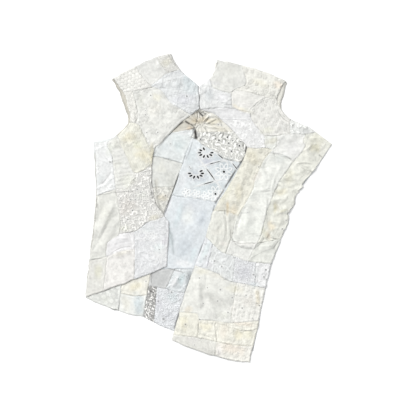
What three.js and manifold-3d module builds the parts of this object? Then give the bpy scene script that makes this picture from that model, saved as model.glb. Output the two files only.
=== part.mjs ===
// Sleeveless patchwork top, laid flat with its two fronts uppermost.
// Millimetres. +Z is up, +Y points to the shoulders, and the origin is under the middle of the garment.
// The fronts meet at a short closure below the neck and fall apart under it in an arch,
// so the two halves of the back show between them. Every patch is a piece of cloth of its own.
import * as THREE from 'three';
import Module from 'manifold-3d';
import { mergeVertices } from 'three/addons/utils/BufferGeometryUtils.js';

// Cloth and layers
const CLOTH = 1.3;
const SEAM_GAP = 0.3;
const LAYER_GAP = 0.6;
const FRONT_PUFF = 1.6;
const FRONT_STEP = 13;
const BACK_STEP = 21;

// How far the fronts rise off the back: nothing at the side seam and the shoulder, all of it further in
const PUFF_REACH_ACROSS = 0.35;
const PUFF_REACH_DOWN = 1.2;

// Frill on the outer edge of the gathered side strip
const FRILL = { from: 6.9, to: 10.1, waves: 4, out: 2.2, sharpness: 8 };

// Gathers of the side strip, in waves along it, with how far each slants as it crosses
const GATHERS = { waves: 10, height: 2.6, from: 5.35, to: 10.05, slant: 0.5 };

// Neck closure: a sewn eye lying at the foot of the closure
const EYE = { x: -9.9, y: 197.5, ring: 2.6, wire: 0.6, above: 0.4 };

const HALF = 0.5;
const clamp = THREE.MathUtils.clamp;
const lerp = THREE.MathUtils.lerp;

const table = (columns, rows) => rows.map((row) => (
  Object.fromEntries(columns.map((column, k) => [column, row[k]]))
));

// A step that starts and ends level, from 0 to 1
const ease = (q) => {
  const w = clamp(q, 0, 1);
  return w * w * (3 - 2 * w);
};

// Cubic piece from a to b that leaves with slope da and arrives with slope db
const hermite = (a, b, da, db, w) => (
  (2 * w ** 3 - 3 * w ** 2 + 1) * a + (w ** 3 - 2 * w ** 2 + w) * da
  + (3 * w ** 2 - 2 * w ** 3) * b + (w ** 3 - w ** 2) * db
);

// Sections of the four panels. Each row is one level, from the shoulder down to the hem,
// with the ends of that level and a 1 where the edge turns a corner there.
const SECTION = ['leftX', 'leftY', 'leftTurn', 'rightX', 'rightY', 'rightTurn'];

const FRONT_LEFT = table(SECTION, [
  [-199, 271, 1, -79, 324, 1],
  [-187, 255, 0, -59, 291, 0],
  [-176, 239, 0, -20, 256, 1],
  [-166, 202, 0, -18, 208, 1],
  [-166, 178, 0, -63, 174, 0],
  [-197, 147, 0, -99, 136, 0],
  [-237, 136, 1, -113, 120, 0],
  [-235, 80, 0, -118, 67, 0],
  [-234, 23, 0, -108, 10, 0],
  [-238, -36, 0, -82, -29, 1],
  [-247, -107, 0, -83, -76, 0],
  [-257, -187, 1, -86, -123, 1],
]);

const FRONT_RIGHT = table(SECTION, [
  [20, 310, 1, 163, 266, 1],
  [8, 275, 0, 150, 244, 0],
  [-17.4, 255, 1, 145, 223, 0],
  [-17.4, 207, 1, 155, 205, 0],
  [15, 195, 0, 174, 186, 0],
  [50, 164, 0, 212, 169, 0],
  [84, 127, 1, 259.6, 134, 1],
  [67, 88, 0, 227, 86, 0],
  [39, 40, 0, 191, 36, 0],
  [10, -8, 0, 172, -8, 0],
  [-4, -59, 0, 154, -67, 0],
  [-31, -128, 0, 132, -120, 0],
  [-52, -189, 0, 117, -185, 0],
  [-66, -244, 0, 103, -254, 0],
  [-76, -277, 1, 87, -324, 1],
]);

const BACK_LEFT = table(SECTION, [
  [-201, 269, 1, -77, 321, 1],
  [-184, 238, 0, -57, 269, 0],
  [-172, 202, 0, -18, 227, 1],
  [-169, 178, 0, -22, 189, 0],
  [-199, 149, 0, -31, 160, 0],
  [-239, 138, 1, -38, 137, 0],
  [-237, 80, 0, -59, 76, 0],
  [-236, 23, 0, -75, 31, 0],
  [-241, -36, 0, -94, -19, 0],
  [-250, -113, 0, -115, -105, 0],
  [-254, -151, 0, -123, -157, 0],
  [-258, -188, 1, -136, -229, 1],
]);

const BACK_RIGHT = table(SECTION, [
  [17, 304, 1, 165, 263, 1],
  [4, 260, 0, 159, 237, 0],
  [-18, 227, 1, 154, 212, 0],
  [-22, 189, 0, 172, 185, 0],
  [-31, 160, 0, 210, 170, 0],
  [-38, 137, 0, 256, 132, 1],
  [-59, 76, 0, 223, 80, 0],
  [-75, 31, 0, 187, 31, 0],
  [-94, -19, 0, 166, -19, 0],
  [-115, -105, 0, 134, -109, 0],
  [-123, -157, 0, 120, -172, 0],
  [-136, -229, 1, 94, -300, 1],
]);

// Seams between the patches of each panel, in that panel's own measure:
// s runs from 0 at its left edge to 1 at its right edge, and t counts its sections.
// A seam across gives knots of s and t, and a seam down gives knots of t and s.
const SEAMS = {
  frontLeft: {
    across: {
      blueTop: [[0.42, 1.6], [0.6, 1.3], [0.8, 1.04], [1, 1.02]],
      blueFoot: [[0, 1.85], [0.2, 1.85], [0.42, 1.74], [0.5, 2.05], [0.6, 2.65], [0.75, 3], [1, 3.4]],
      floralFoot: [[0, 3.95], [0.13, 4], [0.4, 4.45], [0.7, 5], [1, 6]],
      ochreFoot: [[0, 4.8], [0.2, 5.2], [0.45, 6], [0.55, 6.4], [0.7, 6.95], [0.93, 6.7], [1, 6.5]],
      whiteTop: [[0, 5.3], [1, 5.3]],
      rippleFoot: [[0.34, 7.62], [0.5, 7.62], [0.7, 6.99], [0.74, 6.8], [0.9, 6.1]],
      whiteFoot: [[0, 7.95], [0.34, 7.62]],
      laceFoot: [[0.35, 9.33], [0.55, 9.3], [0.7, 9], [1, 8.7]],
      hemTop: [[0, 10.05], [0.22, 10.02], [0.4, 9.93], [0.6, 9.97]],
    },
    down: {
      bubbleSide: [[0, 0.4], [1.65, 0.42]],
      neckLaceSide: [[0, 0.76], [1.04, 0.8]],
      stripSide: [[1.85, 0.12], [4, 0.12]],
      rippleStart: [[5.2, 0], [6, 0.2], [6.5, 0.3], [7.62, 0.34]],
      rippleEnd: [[6.9, 0.7], [7.05, 0.7]],
      oliveSide: [[7.62, 0.34], [8.5, 0.36], [9.33, 0.35], [9.62, 0.2], [10.05, 0.2]],
      lavenderSide: [[9.3, 0.54], [9.95, 0.57], [11, 0.6]],
      roundSide: [[10, 0.22], [11, 0.22]],
    },
  },
  frontRight: {
    across: {
      satinTop: [[0, 1.2], [0.2, 1.95], [0.43, 2.08]],
      pleatTop: [[0.4, 1.72], [0.6, 1.64], [0.8, 1.7], [1, 1.85]],
      mistTop: [[0, 3], [0.2, 2.95], [0.4, 2.9], [0.56, 3.45]],
      petalTop: [[0, 4.06], [1, 4.06]],
      mistFoot: [[0, 4.4], [0.42, 4.35]],
      bustFoot: [[0.32, 5.42], [0.47, 5.45], [0.57, 5.38], [0.85, 5.4], [1, 5.32]],
      longTop: [[0, 6], [0.12, 6.08], [0.2, 6.05], [0.32, 6.2]],
      crease: [[0.3, 6.35], [0.5, 6.5], [0.7, 6.85]],
      longFoot: [[0, 8.95], [0.2, 9], [0.36, 9.2]],
      curveFoot: [[0.3, 10.08], [0.36, 10.12], [0.5, 10.2], [0.7, 10.15], [1, 9.95]],
      creamFoot: [[0, 10.02], [0.1, 10.2], [0.3, 10.5], [0.5, 10.65], [0.65, 10.8], [1, 10.95]],
      bandFoot: [[0, 10.88], [0.2, 11.05], [0.34, 11.2], [0.5, 11.45], [0.75, 11.6], [1, 11.75]],
      dottedFoot: [[0, 12.5], [0.22, 12.55], [0.27, 12.78], [0.45, 12.8], [0.65, 12.85], [1, 12.75]],
      trimFoot: [[0.46, 12.85], [0.6, 12.93], [0.7, 13.03], [0.85, 13.08], [1, 13]],
      hemTop: [[0, 13.6], [0.3, 13.5], [0.54, 13.53], [0.73, 13.57], [1, 13.5]],
    },
    down: {
      pleatSide: [[0, 0.36], [1, 0.5], [1.7, 0.42], [2.95, 0.4]],
      slant: [[1.7, 0.88], [2.5, 0.72], [3, 0.62], [3.45, 0.56], [4.1, 0.45], [4.8, 0.36],
        [5.42, 0.32], [5.8, 0.24], [6.07, 0.2]],
      petalSide: [[4, 1], [4.8, 0.8], [5.38, 0.66]],
      curveStart: [[5.44, 0.47], [6.3, 0.3], [6.8, 0.27], [7.5, 0.3], [8, 0.36], [8.6, 0.37],
        [9, 0.36], [9.5, 0.33], [10.1, 0.34], [10.6, 0.34]],
      curveEnd: [[5.4, 0.85], [5.95, 0.69], [6.4, 0.69], [6.85, 0.65], [7.65, 0.655], [8.2, 0.68],
        [8.85, 0.7], [9.8, 0.71], [10.15, 0.7], [10.85, 0.68]],
      dotSide: [[10.2, 0.12], [11.1, 0.19]],
      eyeletSide: [[10.7, 0.5], [11.5, 0.57]],
      swirlSide: [[10.85, 0.79], [11.7, 0.87]],
      pinkSide: [[11.5, 0.62], [12.85, 0.66]],
      yellowSide: [[12.7, 0.26], [13.5, 0.3]],
      yellowEnd: [[12.8, 0.46], [13.55, 0.54]],
      hemSide: [[13.5, 0.54], [14, 0.56]],
    },
  },
  backLeft: {
    across: {
      yokeFoot: [[0, 3.9], [0.7, 3.95], [1, 3.75]],
      paleFoot: [[0, 5.4], [0.66, 5.5], [1, 5.72]],
      plainFoot: [[0, 6.7], [1, 6.7]],
      tailTop: [[0, 9.9], [0.5, 9.7], [1, 9.3]],
      amberFoot: [[0.5, 10.42], [0.8, 10.45], [1, 10.38]],
    },
    down: {
      tailSide: [[9.3, 0.56], [11, 0.57]],
    },
  },
  backRight: {
    across: {
      gatherFoot: [[0, 4.05], [0.4, 4.12], [1, 4.2]],
      crochetFoot: [[0, 4.6], [0.1, 5.1], [0.22, 5.35], [0.3, 5.58], [0.45, 5.68], [1, 5.7]],
      eyeletFoot: [[0, 7.1], [0.2, 7.25], [0.4, 7.4], [1, 7.4]],
      skyFoot: [[0, 9.42], [0.3, 9.38], [1, 9.4]],
      meshFoot: [[0, 10.1], [0.15, 10.15], [0.3, 10.2], [1, 10.2]],
    },
    down: {
      meshSide: [[9.4, 0.2], [9.9, 0.17], [10.15, 0.15]],
      netSide: [[10.1, 0.07], [11, 0.1]],
    },
  },
};

// Patches. above, below, left and right name the seams that bound each one, and nothing stands for
// the panel's own edge. Where two seams are named, the one nearer the patch counts.
// proud is how far its cloth stands out over the thinnest one.
const PATCH = ['name', 'panel', 'above', 'below', 'left', 'right', 'proud', 'colour', 'roughness'];

const PATCHES = table(PATCH, [
  ['FrontLeft_BubbleLace', 'frontLeft', '', 'blueFoot', '', 'bubbleSide', 0.4, '#eae4da', 0.9],
  ['FrontLeft_ShoulderPlain', 'frontLeft', '', 'blueTop', 'bubbleSide', 'neckLaceSide', 0, '#e3e1da', 0.8],
  ['FrontLeft_NeckLace', 'frontLeft', '', 'blueTop', 'neckLaceSide', '', 0.3, '#d9d4c2', 0.9],
  ['FrontLeft_NeckBlue', 'frontLeft', 'blueTop', 'blueFoot', 'bubbleSide', '', 0.2, '#e0e5ea', 0.6],
  ['FrontLeft_ArmholeStrip', 'frontLeft', 'blueFoot', 'floralFoot', '', 'stripSide', 0.2, '#e2ddd0', 0.9],
  ['FrontLeft_BigFloral', 'frontLeft', 'blueFoot', 'floralFoot', 'stripSide', '', 0, '#e5e2d6', 0.7],
  ['FrontLeft_OchreFloral', 'frontLeft', 'floralFoot', 'ochreFoot', '', '', 0.3, '#e6dcbc', 0.8],
  ['FrontLeft_RippledStrip', 'frontLeft', 'ochreFoot', 'rippleFoot', 'rippleStart', 'rippleEnd', 0,
    '#e2e1d6', 0.8],
  ['FrontLeft_WhiteEmbroidered', 'frontLeft', 'whiteTop', 'whiteFoot', '', 'rippleStart', 0.3,
    '#eaeeee', 0.7],
  ['FrontLeft_CrochetLace', 'frontLeft', 'ochreFoot rippleFoot', 'laceFoot', 'oliveSide', '', 0.4,
    '#ddd3c8', 0.95],
  ['FrontLeft_OlivePlain', 'frontLeft', 'whiteFoot', 'hemTop', '', 'oliveSide', 0, '#dcdccb', 0.7],
  ['FrontLeft_GreyPlain', 'frontLeft', 'laceFoot', 'hemTop', 'oliveSide', 'lavenderSide', 0.2,
    '#e6e4e4', 0.8],
  ['FrontLeft_LavenderFloral', 'frontLeft', 'laceFoot', '', 'lavenderSide', '', 0.3, '#e0e0e4', 0.8],
  ['FrontLeft_RoundTop', 'frontLeft', 'hemTop', '', 'roundSide', 'lavenderSide', 0.4, '#e4ddd1', 0.8],
  ['FrontLeft_HemOlive', 'frontLeft', 'hemTop', '', '', 'roundSide', 0, '#dedac6', 0.8],
  ['FrontRight_ShoulderPlain', 'frontRight', '', 'satinTop', '', 'pleatSide', 0, '#e0dfd8', 0.8],
  ['FrontRight_ShoulderFloral', 'frontRight', '', 'pleatTop', 'pleatSide', '', 0.3, '#e6dfca', 0.85],
  ['FrontRight_NeckSatin', 'frontRight', 'satinTop', 'mistTop', '', 'pleatSide', 0.2, '#e6e8e8', 0.4],
  ['FrontRight_Pleated', 'frontRight', 'pleatTop', 'mistTop', 'pleatSide', 'slant', 0.3, '#e9e3d9', 0.7],
  ['FrontRight_DottedBeige', 'frontRight', 'pleatTop', 'bustFoot', 'slant', 'petalSide', 0,
    '#dedace', 0.85],
  ['FrontRight_Mist', 'frontRight', 'mistTop', 'mistFoot', '', 'slant', 0, '#e3e8e8', 0.7],
  ['FrontRight_Lilac', 'frontRight', 'mistFoot', 'longTop', '', 'slant', 0.2, '#e8e7ea', 0.8],
  ['FrontRight_SmallBeige', 'frontRight', 'bustFoot', 'longTop', 'slant', 'curveStart', 0,
    '#ded7c4', 0.8],
  ['FrontRight_PetalLace', 'frontRight', 'petalTop', 'bustFoot', 'petalSide', '', 0.4, '#dfdfdc', 0.8],
  ['FrontRight_LongOchre', 'frontRight', 'longTop', 'longFoot', '', 'curveStart', 0, '#e3d8b8', 0.8],
  ['FrontRight_CurveTop', 'frontRight', 'bustFoot', 'crease', 'curveStart', 'curveEnd', 0.4,
    '#e3e2e0', 0.6],
  ['FrontRight_Curve', 'frontRight', 'crease', 'curveFoot', 'curveStart', 'curveEnd', 0.8,
    '#e6e7e0', 0.6],
  ['FrontRight_GatheredStrip', 'frontRight', 'bustFoot', 'curveFoot', 'curveEnd', '', 0, '#e8dfc4', 0.8],
  ['FrontRight_CreamPanel', 'frontRight', 'longFoot', 'creamFoot', '', 'curveStart', 0.2, '#e6e1d2', 0.8],
  ['FrontRight_CreamCrescent', 'frontRight', 'curveFoot', 'creamFoot', 'curveStart', 'curveEnd', 0,
    '#e4dfcb', 0.8],
  ['FrontRight_FoldedBeige', 'frontRight', 'curveFoot', 'creamFoot', 'curveEnd', '', 0.2,
    '#e0dac6', 0.8],
  ['FrontRight_DottedBlue', 'frontRight', 'creamFoot', 'bandFoot', '', 'dotSide', 0.2, '#e3e8e7', 0.8],
  ['FrontRight_GreyEyelet', 'frontRight', 'creamFoot', 'bandFoot', 'dotSide', 'eyeletSide', 0.3,
    '#dbdcdb', 0.85],
  ['FrontRight_GreySwirl', 'frontRight', 'creamFoot', 'bandFoot', 'eyeletSide', 'swirlSide', 0.3,
    '#cfd0d2', 0.85],
  ['FrontRight_BandWhite', 'frontRight', 'creamFoot', 'bandFoot', 'swirlSide', '', 0, '#e8ebe8', 0.8],
  ['FrontRight_DottedCream', 'frontRight', 'bandFoot', 'dottedFoot', '', 'pinkSide', 0, '#e5e1cf', 0.8],
  ['FrontRight_PinkBeige', 'frontRight', 'bandFoot', 'dottedFoot', 'pinkSide', '', 0.3, '#e5dcd0', 0.85],
  ['FrontRight_OchreCorner', 'frontRight', 'dottedFoot', 'hemTop', '', 'yellowSide', 0.2,
    '#ded6b4', 0.8],
  ['FrontRight_YellowBlock', 'frontRight', 'dottedFoot', 'hemTop', 'yellowSide', 'yellowEnd', 0.4,
    '#e4d8b0', 0.8],
  ['FrontRight_TrimBand', 'frontRight', 'dottedFoot', 'trimFoot', 'yellowEnd', '', 0.4, '#e6dac2', 0.8],
  ['FrontRight_YellowWide', 'frontRight', 'trimFoot', 'hemTop', 'yellowEnd', '', 0, '#e2d6b2', 0.8],
  ['FrontRight_HemGrey', 'frontRight', 'hemTop', '', '', 'hemSide', 0, '#dcdacd', 0.8],
  ['FrontRight_HemPink', 'frontRight', 'hemTop', '', 'hemSide', '', 0.3, '#e6dacb', 0.85],
  ['BackLeft_Yoke', 'backLeft', '', 'yokeFoot', '', '', 0, '#d8c9a4', 0.8],
  ['BackLeft_Pale', 'backLeft', 'yokeFoot', 'paleFoot', '', '', 0.2, '#e2e8ea', 0.7],
  ['BackLeft_Plain', 'backLeft', 'paleFoot', 'plainFoot', '', '', 0, '#d8d5c8', 0.8],
  ['BackLeft_BrownLace', 'backLeft', 'plainFoot', 'tailTop', '', '', 0.3, '#c4bba6', 0.95],
  ['BackLeft_TailGrey', 'backLeft', 'tailTop', '', '', 'tailSide', 0.2, '#dedfdc', 0.8],
  ['BackLeft_TailAmber', 'backLeft', 'tailTop', 'amberFoot', 'tailSide', '', 0.3, '#e2d3a6', 0.8],
  ['BackLeft_TailBlue', 'backLeft', 'amberFoot', '', 'tailSide', '', 0, '#dce3e2', 0.8],
  ['BackRight_Gathered', 'backRight', '', 'gatherFoot', '', '', 0, '#d9c79c', 0.8],
  ['BackRight_Crochet', 'backRight', 'gatherFoot', 'crochetFoot', '', '', 0.3, '#d3cfbd', 0.95],
  ['BackRight_Eyelet', 'backRight', 'crochetFoot', 'eyeletFoot', '', '', 0.2, '#d9e2e6', 0.7],
  ['BackRight_Sky', 'backRight', 'eyeletFoot', 'skyFoot', '', '', 0, '#d6dee2', 0.7],
  ['BackRight_Mesh', 'backRight', 'skyFoot', 'meshFoot', '', 'meshSide', 0, '#b9bab8', 0.9],
  ['BackRight_Embroidered', 'backRight', 'skyFoot', 'meshFoot', 'meshSide', '', 0.2, '#dbe1e2', 0.8],
  ['BackRight_DarkNet', 'backRight', 'meshFoot', '', '', 'netSide', 0, '#8f8b84', 0.95],
  ['BackRight_TailEyelet', 'backRight', 'meshFoot', '', 'netSide', '', 0.2, '#d9dade', 0.85],
]);

// Largest folds, as ridges of the cloth from one point to another
const FOLD = ['fromX', 'fromY', 'toX', 'toY', 'height', 'width'];

const FRONT_FOLDS = table(FOLD, [
  [-120, 256, -55, 259, 3.0, 9],
  [-116, 250, -52, 243, 2.2, 8],
  [-110, 302, -72, 286, 2.4, 8],
  [-86, 214, -40, 226, 1.8, 9],
  [-196, 14, -242, -66, 4.2, 10],
  [-190, -18, -230, -96, 3.2, 9],
  [-224, 22, -242, -28, 2.4, 8],
  [-188, 92, -186, 42, 1.8, 9],
  [-206, -78, -164, -62, 2.0, 9],
  [-200, -97, -158, -88, 1.8, 8],
  [-156, 106, -124, 84, 1.6, 10],
  [54, 240, 116, 220, 2.2, 9],
  [66, 214, 96, 199, 2.0, 8],
  [22, 252, 46, 214, 2.0, 9],
  [46, 196, 98, 158, 1.8, 9],
  [148, 92, 154, 56, 3.0, 9],
  [118, 84, 124, 34, 3.0, 10],
  [98, 44, 76, -14, 2.6, 9],
  [126, 20, 106, -60, 2.6, 10],
  [86, -10, 64, -64, 2.8, 9],
  [82, 108, 50, 6, 1.8, 10],
  [44, -8, 42, -72, 2.6, 8],
  [106, -86, 140, -82, 2.4, 9],
  [-18, -148, -17, -208, 3.0, 8],
  [-4, -168, 52, -199, 4.2, 10],
  [-4, -190, 18, -230, 2.6, 9],
  [30, -120, 36, -150, 1.6, 9],
  [-60, -284, 60, -312, 1.4, 12],
  [-240, -176, -110, -132, 1.2, 12],
]);

const BACK_FOLDS = table(FOLD, [
  [-12, 178, 22, 190, 1.4, 7],
  [-12, 174, 40, 172, 1.2, 8],
  [-14, 170, 12, 156, 1.2, 7],
  [-20, 186, -34, 172, 1.0, 7],
  [-34, 34, -62, -46, 1.2, 14],
  [-18, -10, -46, -78, 1.3, 14],
  [-78, 132, -52, 108, 0.9, 12],
  [-90, 60, -72, 48, 0.8, 12],
  [-70, -168, -62, -196, 0.9, 10],
]);

// Cutwork. A daisy is an oval ring of petal holes, a slit a leaf-shaped hole, an eyelet a round one.
const DAISY = ['x', 'y', 'across', 'down', 'petals', 'first', 'last'];

const DAISIES = table(DAISY, [
  [-4.5, 116, 13, 8.4, 10, 3, 10],
  [-25, 72.5, 13.4, 8.4, 10, 5, 11],
]);

const PETAL = { length: 7.4, width: 3.8 };

const SLITS = table(['fromX', 'fromY', 'toX', 'toY', 'width'], [
  [2.5, 93.5, 25.5, 97.5, 4.2],
  [22.5, 114, 31.5, 103.5, 4.1],
  [-2, 81.5, 13.5, 59.5, 4.2],
  [-17, 49, 8, 54.5, 4.2],
  [49.5, 95.5, 58.5, 84.5, 4.1],
]);

const EYELETS = table(['x', 'y', 'width'], [
  [33.5, 76, 6.4],
  [15.8, 29.4, 6],
]);

// Gaps between the loops of the crocheted band
const CROCHET_GAPS = table(['x', 'y', 'width'], [
  [-15.5, 144.5, 4.4],
  [5, 149, 4.4],
  [23, 142, 4.8],
  [40.5, 148.5, 4.8],
  [43.5, 136, 4.8],
  [52, 141, 4.4],
  [66, 130.5, 4.8],
  [69, 139, 4.4],
  [49.3, 119, 4.6],
]);

const LACE_HOLES = table(['x', 'y', 'width'], [
  [-148, 39, 4.6],
  [-141, 33, 4.4],
  [-162, 18, 4.6],
  [-152, 18, 4.6],
  [-157, 27, 4.4],
  [-158, -5, 4.8],
  [-168, -24, 4.8],
  [-142, -27, 4.4],
  [-119, 0, 4.6],
]);

const HOLE_SIDES = 8;
const HOLE_REACH = 30;

// One edge of a panel as a smooth line through its sections
function edgeCurve(sections, side) {
  const last = sections.length - 1;
  const point = (k) => [sections[k][`${side}X`], sections[k][`${side}Y`]];
  const turns = (k) => k === 0 || k === last || sections[k][`${side}Turn`] === 1;
  return (t) => {
    const inside = clamp(t, 0, last);
    const k = Math.min(Math.floor(inside), last - 1);
    const from = point(k);
    const to = point(k + 1);
    return [0, 1].map((axis) => {
      const along = to[axis] - from[axis];
      const leave = turns(k) ? along : (to[axis] - point(k - 1)[axis]) / 2;
      const arrive = turns(k + 1) ? along : (point(k + 2)[axis] - from[axis]) / 2;
      return hermite(from[axis], to[axis], leave, arrive, inside - k);
    });
  };
}

// A panel's place in plan for s across and t down. The shoulder bows up and the hem bows down.
function makePanel({ sections, shoulderBow, hemBow, sideAt, layer, frill }) {
  const last = sections.length - 1;
  const left = edgeCurve(sections, 'left');
  const right = edgeCurve(sections, 'right');
  const place = (s, t) => {
    const [leftX, leftY] = left(t);
    const [rightX, rightY] = right(t);
    const belly = 4 * s * (1 - s);
    const up = shoulderBow * belly * Math.max(0, 1 - t) ** 2;
    const down = hemBow * belly * Math.max(0, t - last + 1) ** 2;
    const run = frill ? (t - frill.from) / (frill.to - frill.from) : 0;
    const wave = run > 0 && run < 1 ? Math.sin(2 * Math.PI * frill.waves * run) : 0;
    const out = frill ? frill.out * wave * s ** frill.sharpness : 0;
    return [lerp(leftX, rightX, s) + out, lerp(leftY, rightY, s) + up - down];
  };
  return { last, place, sideAt, layer };
}

const PANELS = {
  frontLeft: makePanel({
    sections: FRONT_LEFT, shoulderBow: 6.5, hemBow: 1.5, sideAt: 0, layer: 'front',
  }),
  frontRight: makePanel({
    sections: FRONT_RIGHT, shoulderBow: 6.5, hemBow: 7.5, sideAt: 1, layer: 'front', frill: FRILL,
  }),
  backLeft: makePanel({ sections: BACK_LEFT, shoulderBow: 5, hemBow: 5, sideAt: 0, layer: 'back' }),
  backRight: makePanel({ sections: BACK_RIGHT, shoulderBow: 5, hemBow: 12, sideAt: 1, layer: 'back' }),
};

// A smooth line through knots that never overshoots them: the slope at a knot is the harmonic mean of
// the slopes on its two sides, and level where they differ in sign
function throughKnots(knots) {
  const last = knots.length - 1;
  const slope = (k) => (knots[k + 1][1] - knots[k][1]) / (knots[k + 1][0] - knots[k][0]);
  const bend = (k) => {
    if (k === 0) return slope(0);
    if (k === last) return slope(last - 1);
    const before = slope(k - 1);
    const after = slope(k);
    return before * after <= 0 ? 0 : (2 * before * after) / (before + after);
  };
  return (q) => {
    const inside = clamp(q, knots[0][0], knots[last][0]);
    const k = Math.max(0, knots.findIndex(([at]) => at >= inside) - 1);
    const span = knots[k + 1][0] - knots[k][0];
    const w = (inside - knots[k][0]) / span;
    return hermite(knots[k][1], knots[k + 1][1], bend(k) * span, bend(k + 1) * span, w);
  };
}

// The edge of a patch along the seams that it names, or along the panel's own edge
function patchEdge(panelName, kind, names, ownEdge, nearer) {
  const lines = names.split(' ').filter(Boolean)
    .map((name) => throughKnots(SEAMS[panelName][kind][name]));
  return (q) => (lines.length ? nearer(...lines.map((line) => line(q))) : ownEdge);
}

// s and t of a point u across and v down a patch, found by stepping halfway to where its seams put it
const SETTLING_STEPS = 40;

function patchMeasure(patch) {
  const { last } = PANELS[patch.panel];
  const above = patchEdge(patch.panel, 'across', patch.above, 0, Math.max);
  const below = patchEdge(patch.panel, 'across', patch.below, last, Math.min);
  const left = patchEdge(patch.panel, 'down', patch.left, 0, Math.max);
  const right = patchEdge(patch.panel, 'down', patch.right, 1, Math.min);
  return (u, v) => {
    let s = HALF;
    let t = lerp(above(s), below(s), v);
    for (let step = 0; step < SETTLING_STEPS; step += 1) {
      s = lerp(left(t), right(t), u);
      t = lerp(t, lerp(above(s), below(s), v), HALF);
    }
    return [s, t];
  };
}

// Height of a set of folds at a point: each is a bell across its line that fades out at both ends
function foldHeight(folds, x, y) {
  return folds.reduce((highest, fold) => {
    const runX = fold.toX - fold.fromX;
    const runY = fold.toY - fold.fromY;
    const along = ((x - fold.fromX) * runX + (y - fold.fromY) * runY) / (runX ** 2 + runY ** 2);
    const nearest = clamp(along, 0, 1);
    const away = Math.hypot(x - fold.fromX - nearest * runX, y - fold.fromY - nearest * runY);
    const fade = 1 - (2 * nearest - 1) ** 4;
    return Math.max(highest, fold.height * fade * Math.exp(-((away / fold.width) ** 2)));
  }, 0);
}

// Gathers of the side strip: rounded waves one after the other down its length
function gatherHeight(s, t) {
  const run = (t + GATHERS.slant * s - GATHERS.from) / (GATHERS.to - GATHERS.from);
  return GATHERS.height * Math.sin(Math.PI * GATHERS.waves * run) ** 2;
}

// Underside and upper side of a patch's cloth. The back lies flat, and its folds only thicken it.
function clothHeights(patch, x, y, s, t) {
  const panel = PANELS[patch.panel];
  if (panel.layer === 'back') {
    return { under: 0, upper: CLOTH + patch.proud + foldHeight(BACK_FOLDS, x, y) };
  }
  const fromSide = Math.abs(s - panel.sideAt);
  const puff = FRONT_PUFF * ease(fromSide / PUFF_REACH_ACROSS) * ease(t / PUFF_REACH_DOWN);
  const gathers = patch.name === 'FrontRight_GatheredStrip' ? gatherHeight(s, t) : 0;
  const under = CLOTH + LAYER_GAP + puff + foldHeight(FRONT_FOLDS, x, y) + gathers;
  return { under, upper: under + CLOTH + patch.proud };
}

// Moves the outline of a patch in by half a seam gap, and by as much more as a straight step between
// two of its points would reach over the seam's true curve into the next patch
const NEARLY_STRAIGHT = 0.2;
const LONGEST_SHIFT = 4;
const PROBES = [0.25, 0.5, 0.75];

function insetOutline(outline, trueSide) {
  const count = outline.length;
  const steps = outline.map((point, k) => {
    const next = outline[(k + 1) % count];
    const length = Math.hypot(next.x - point.x, next.y - point.y);
    const inward = [(next.y - point.y) / length, (point.x - next.x) / length];
    const excess = PROBES.map((w) => {
      const [x, y] = trueSide(k, w);
      return (x - point.x) * inward[0] + (y - point.y) * inward[1];
    });
    return { inward, offset: SEAM_GAP / 2 + Math.max(0, ...excess) };
  });
  return outline.map((point, k) => {
    const before = steps[(k + count - 1) % count];
    const after = steps[k];
    const [ax, ay] = before.inward;
    const [bx, by] = after.inward;
    const cross = ax * by - ay * bx;
    const most = Math.max(before.offset, after.offset);
    const mean = Math.hypot(ax + bx, ay + by);
    let shift = [((ax + bx) / mean) * most, ((ay + by) / mean) * most];
    if (Math.abs(cross) > NEARLY_STRAIGHT) {
      shift = [
        (before.offset * by - after.offset * ay) / cross,
        (after.offset * ax - before.offset * bx) / cross,
      ];
    }
    const reach = Math.hypot(...shift);
    const keep = Math.min(1, (LONGEST_SHIFT * most) / reach);
    return { ...point, x: point.x + shift[0] * keep, y: point.y + shift[1] * keep };
  });
}

// Walks once round a grid of columns and rows: along the top, down the right, back and up again
function gridRim(columns, rows) {
  const rim = [];
  for (let i = 0; i < columns; i += 1) rim.push([i, 0, 1, 0]);
  for (let j = 0; j < rows; j += 1) rim.push([columns, j, 0, 1]);
  for (let i = columns; i > 0; i -= 1) rim.push([i, rows, -1, 0]);
  for (let j = rows; j > 0; j -= 1) rim.push([0, j, 0, -1]);
  return rim;
}

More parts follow.
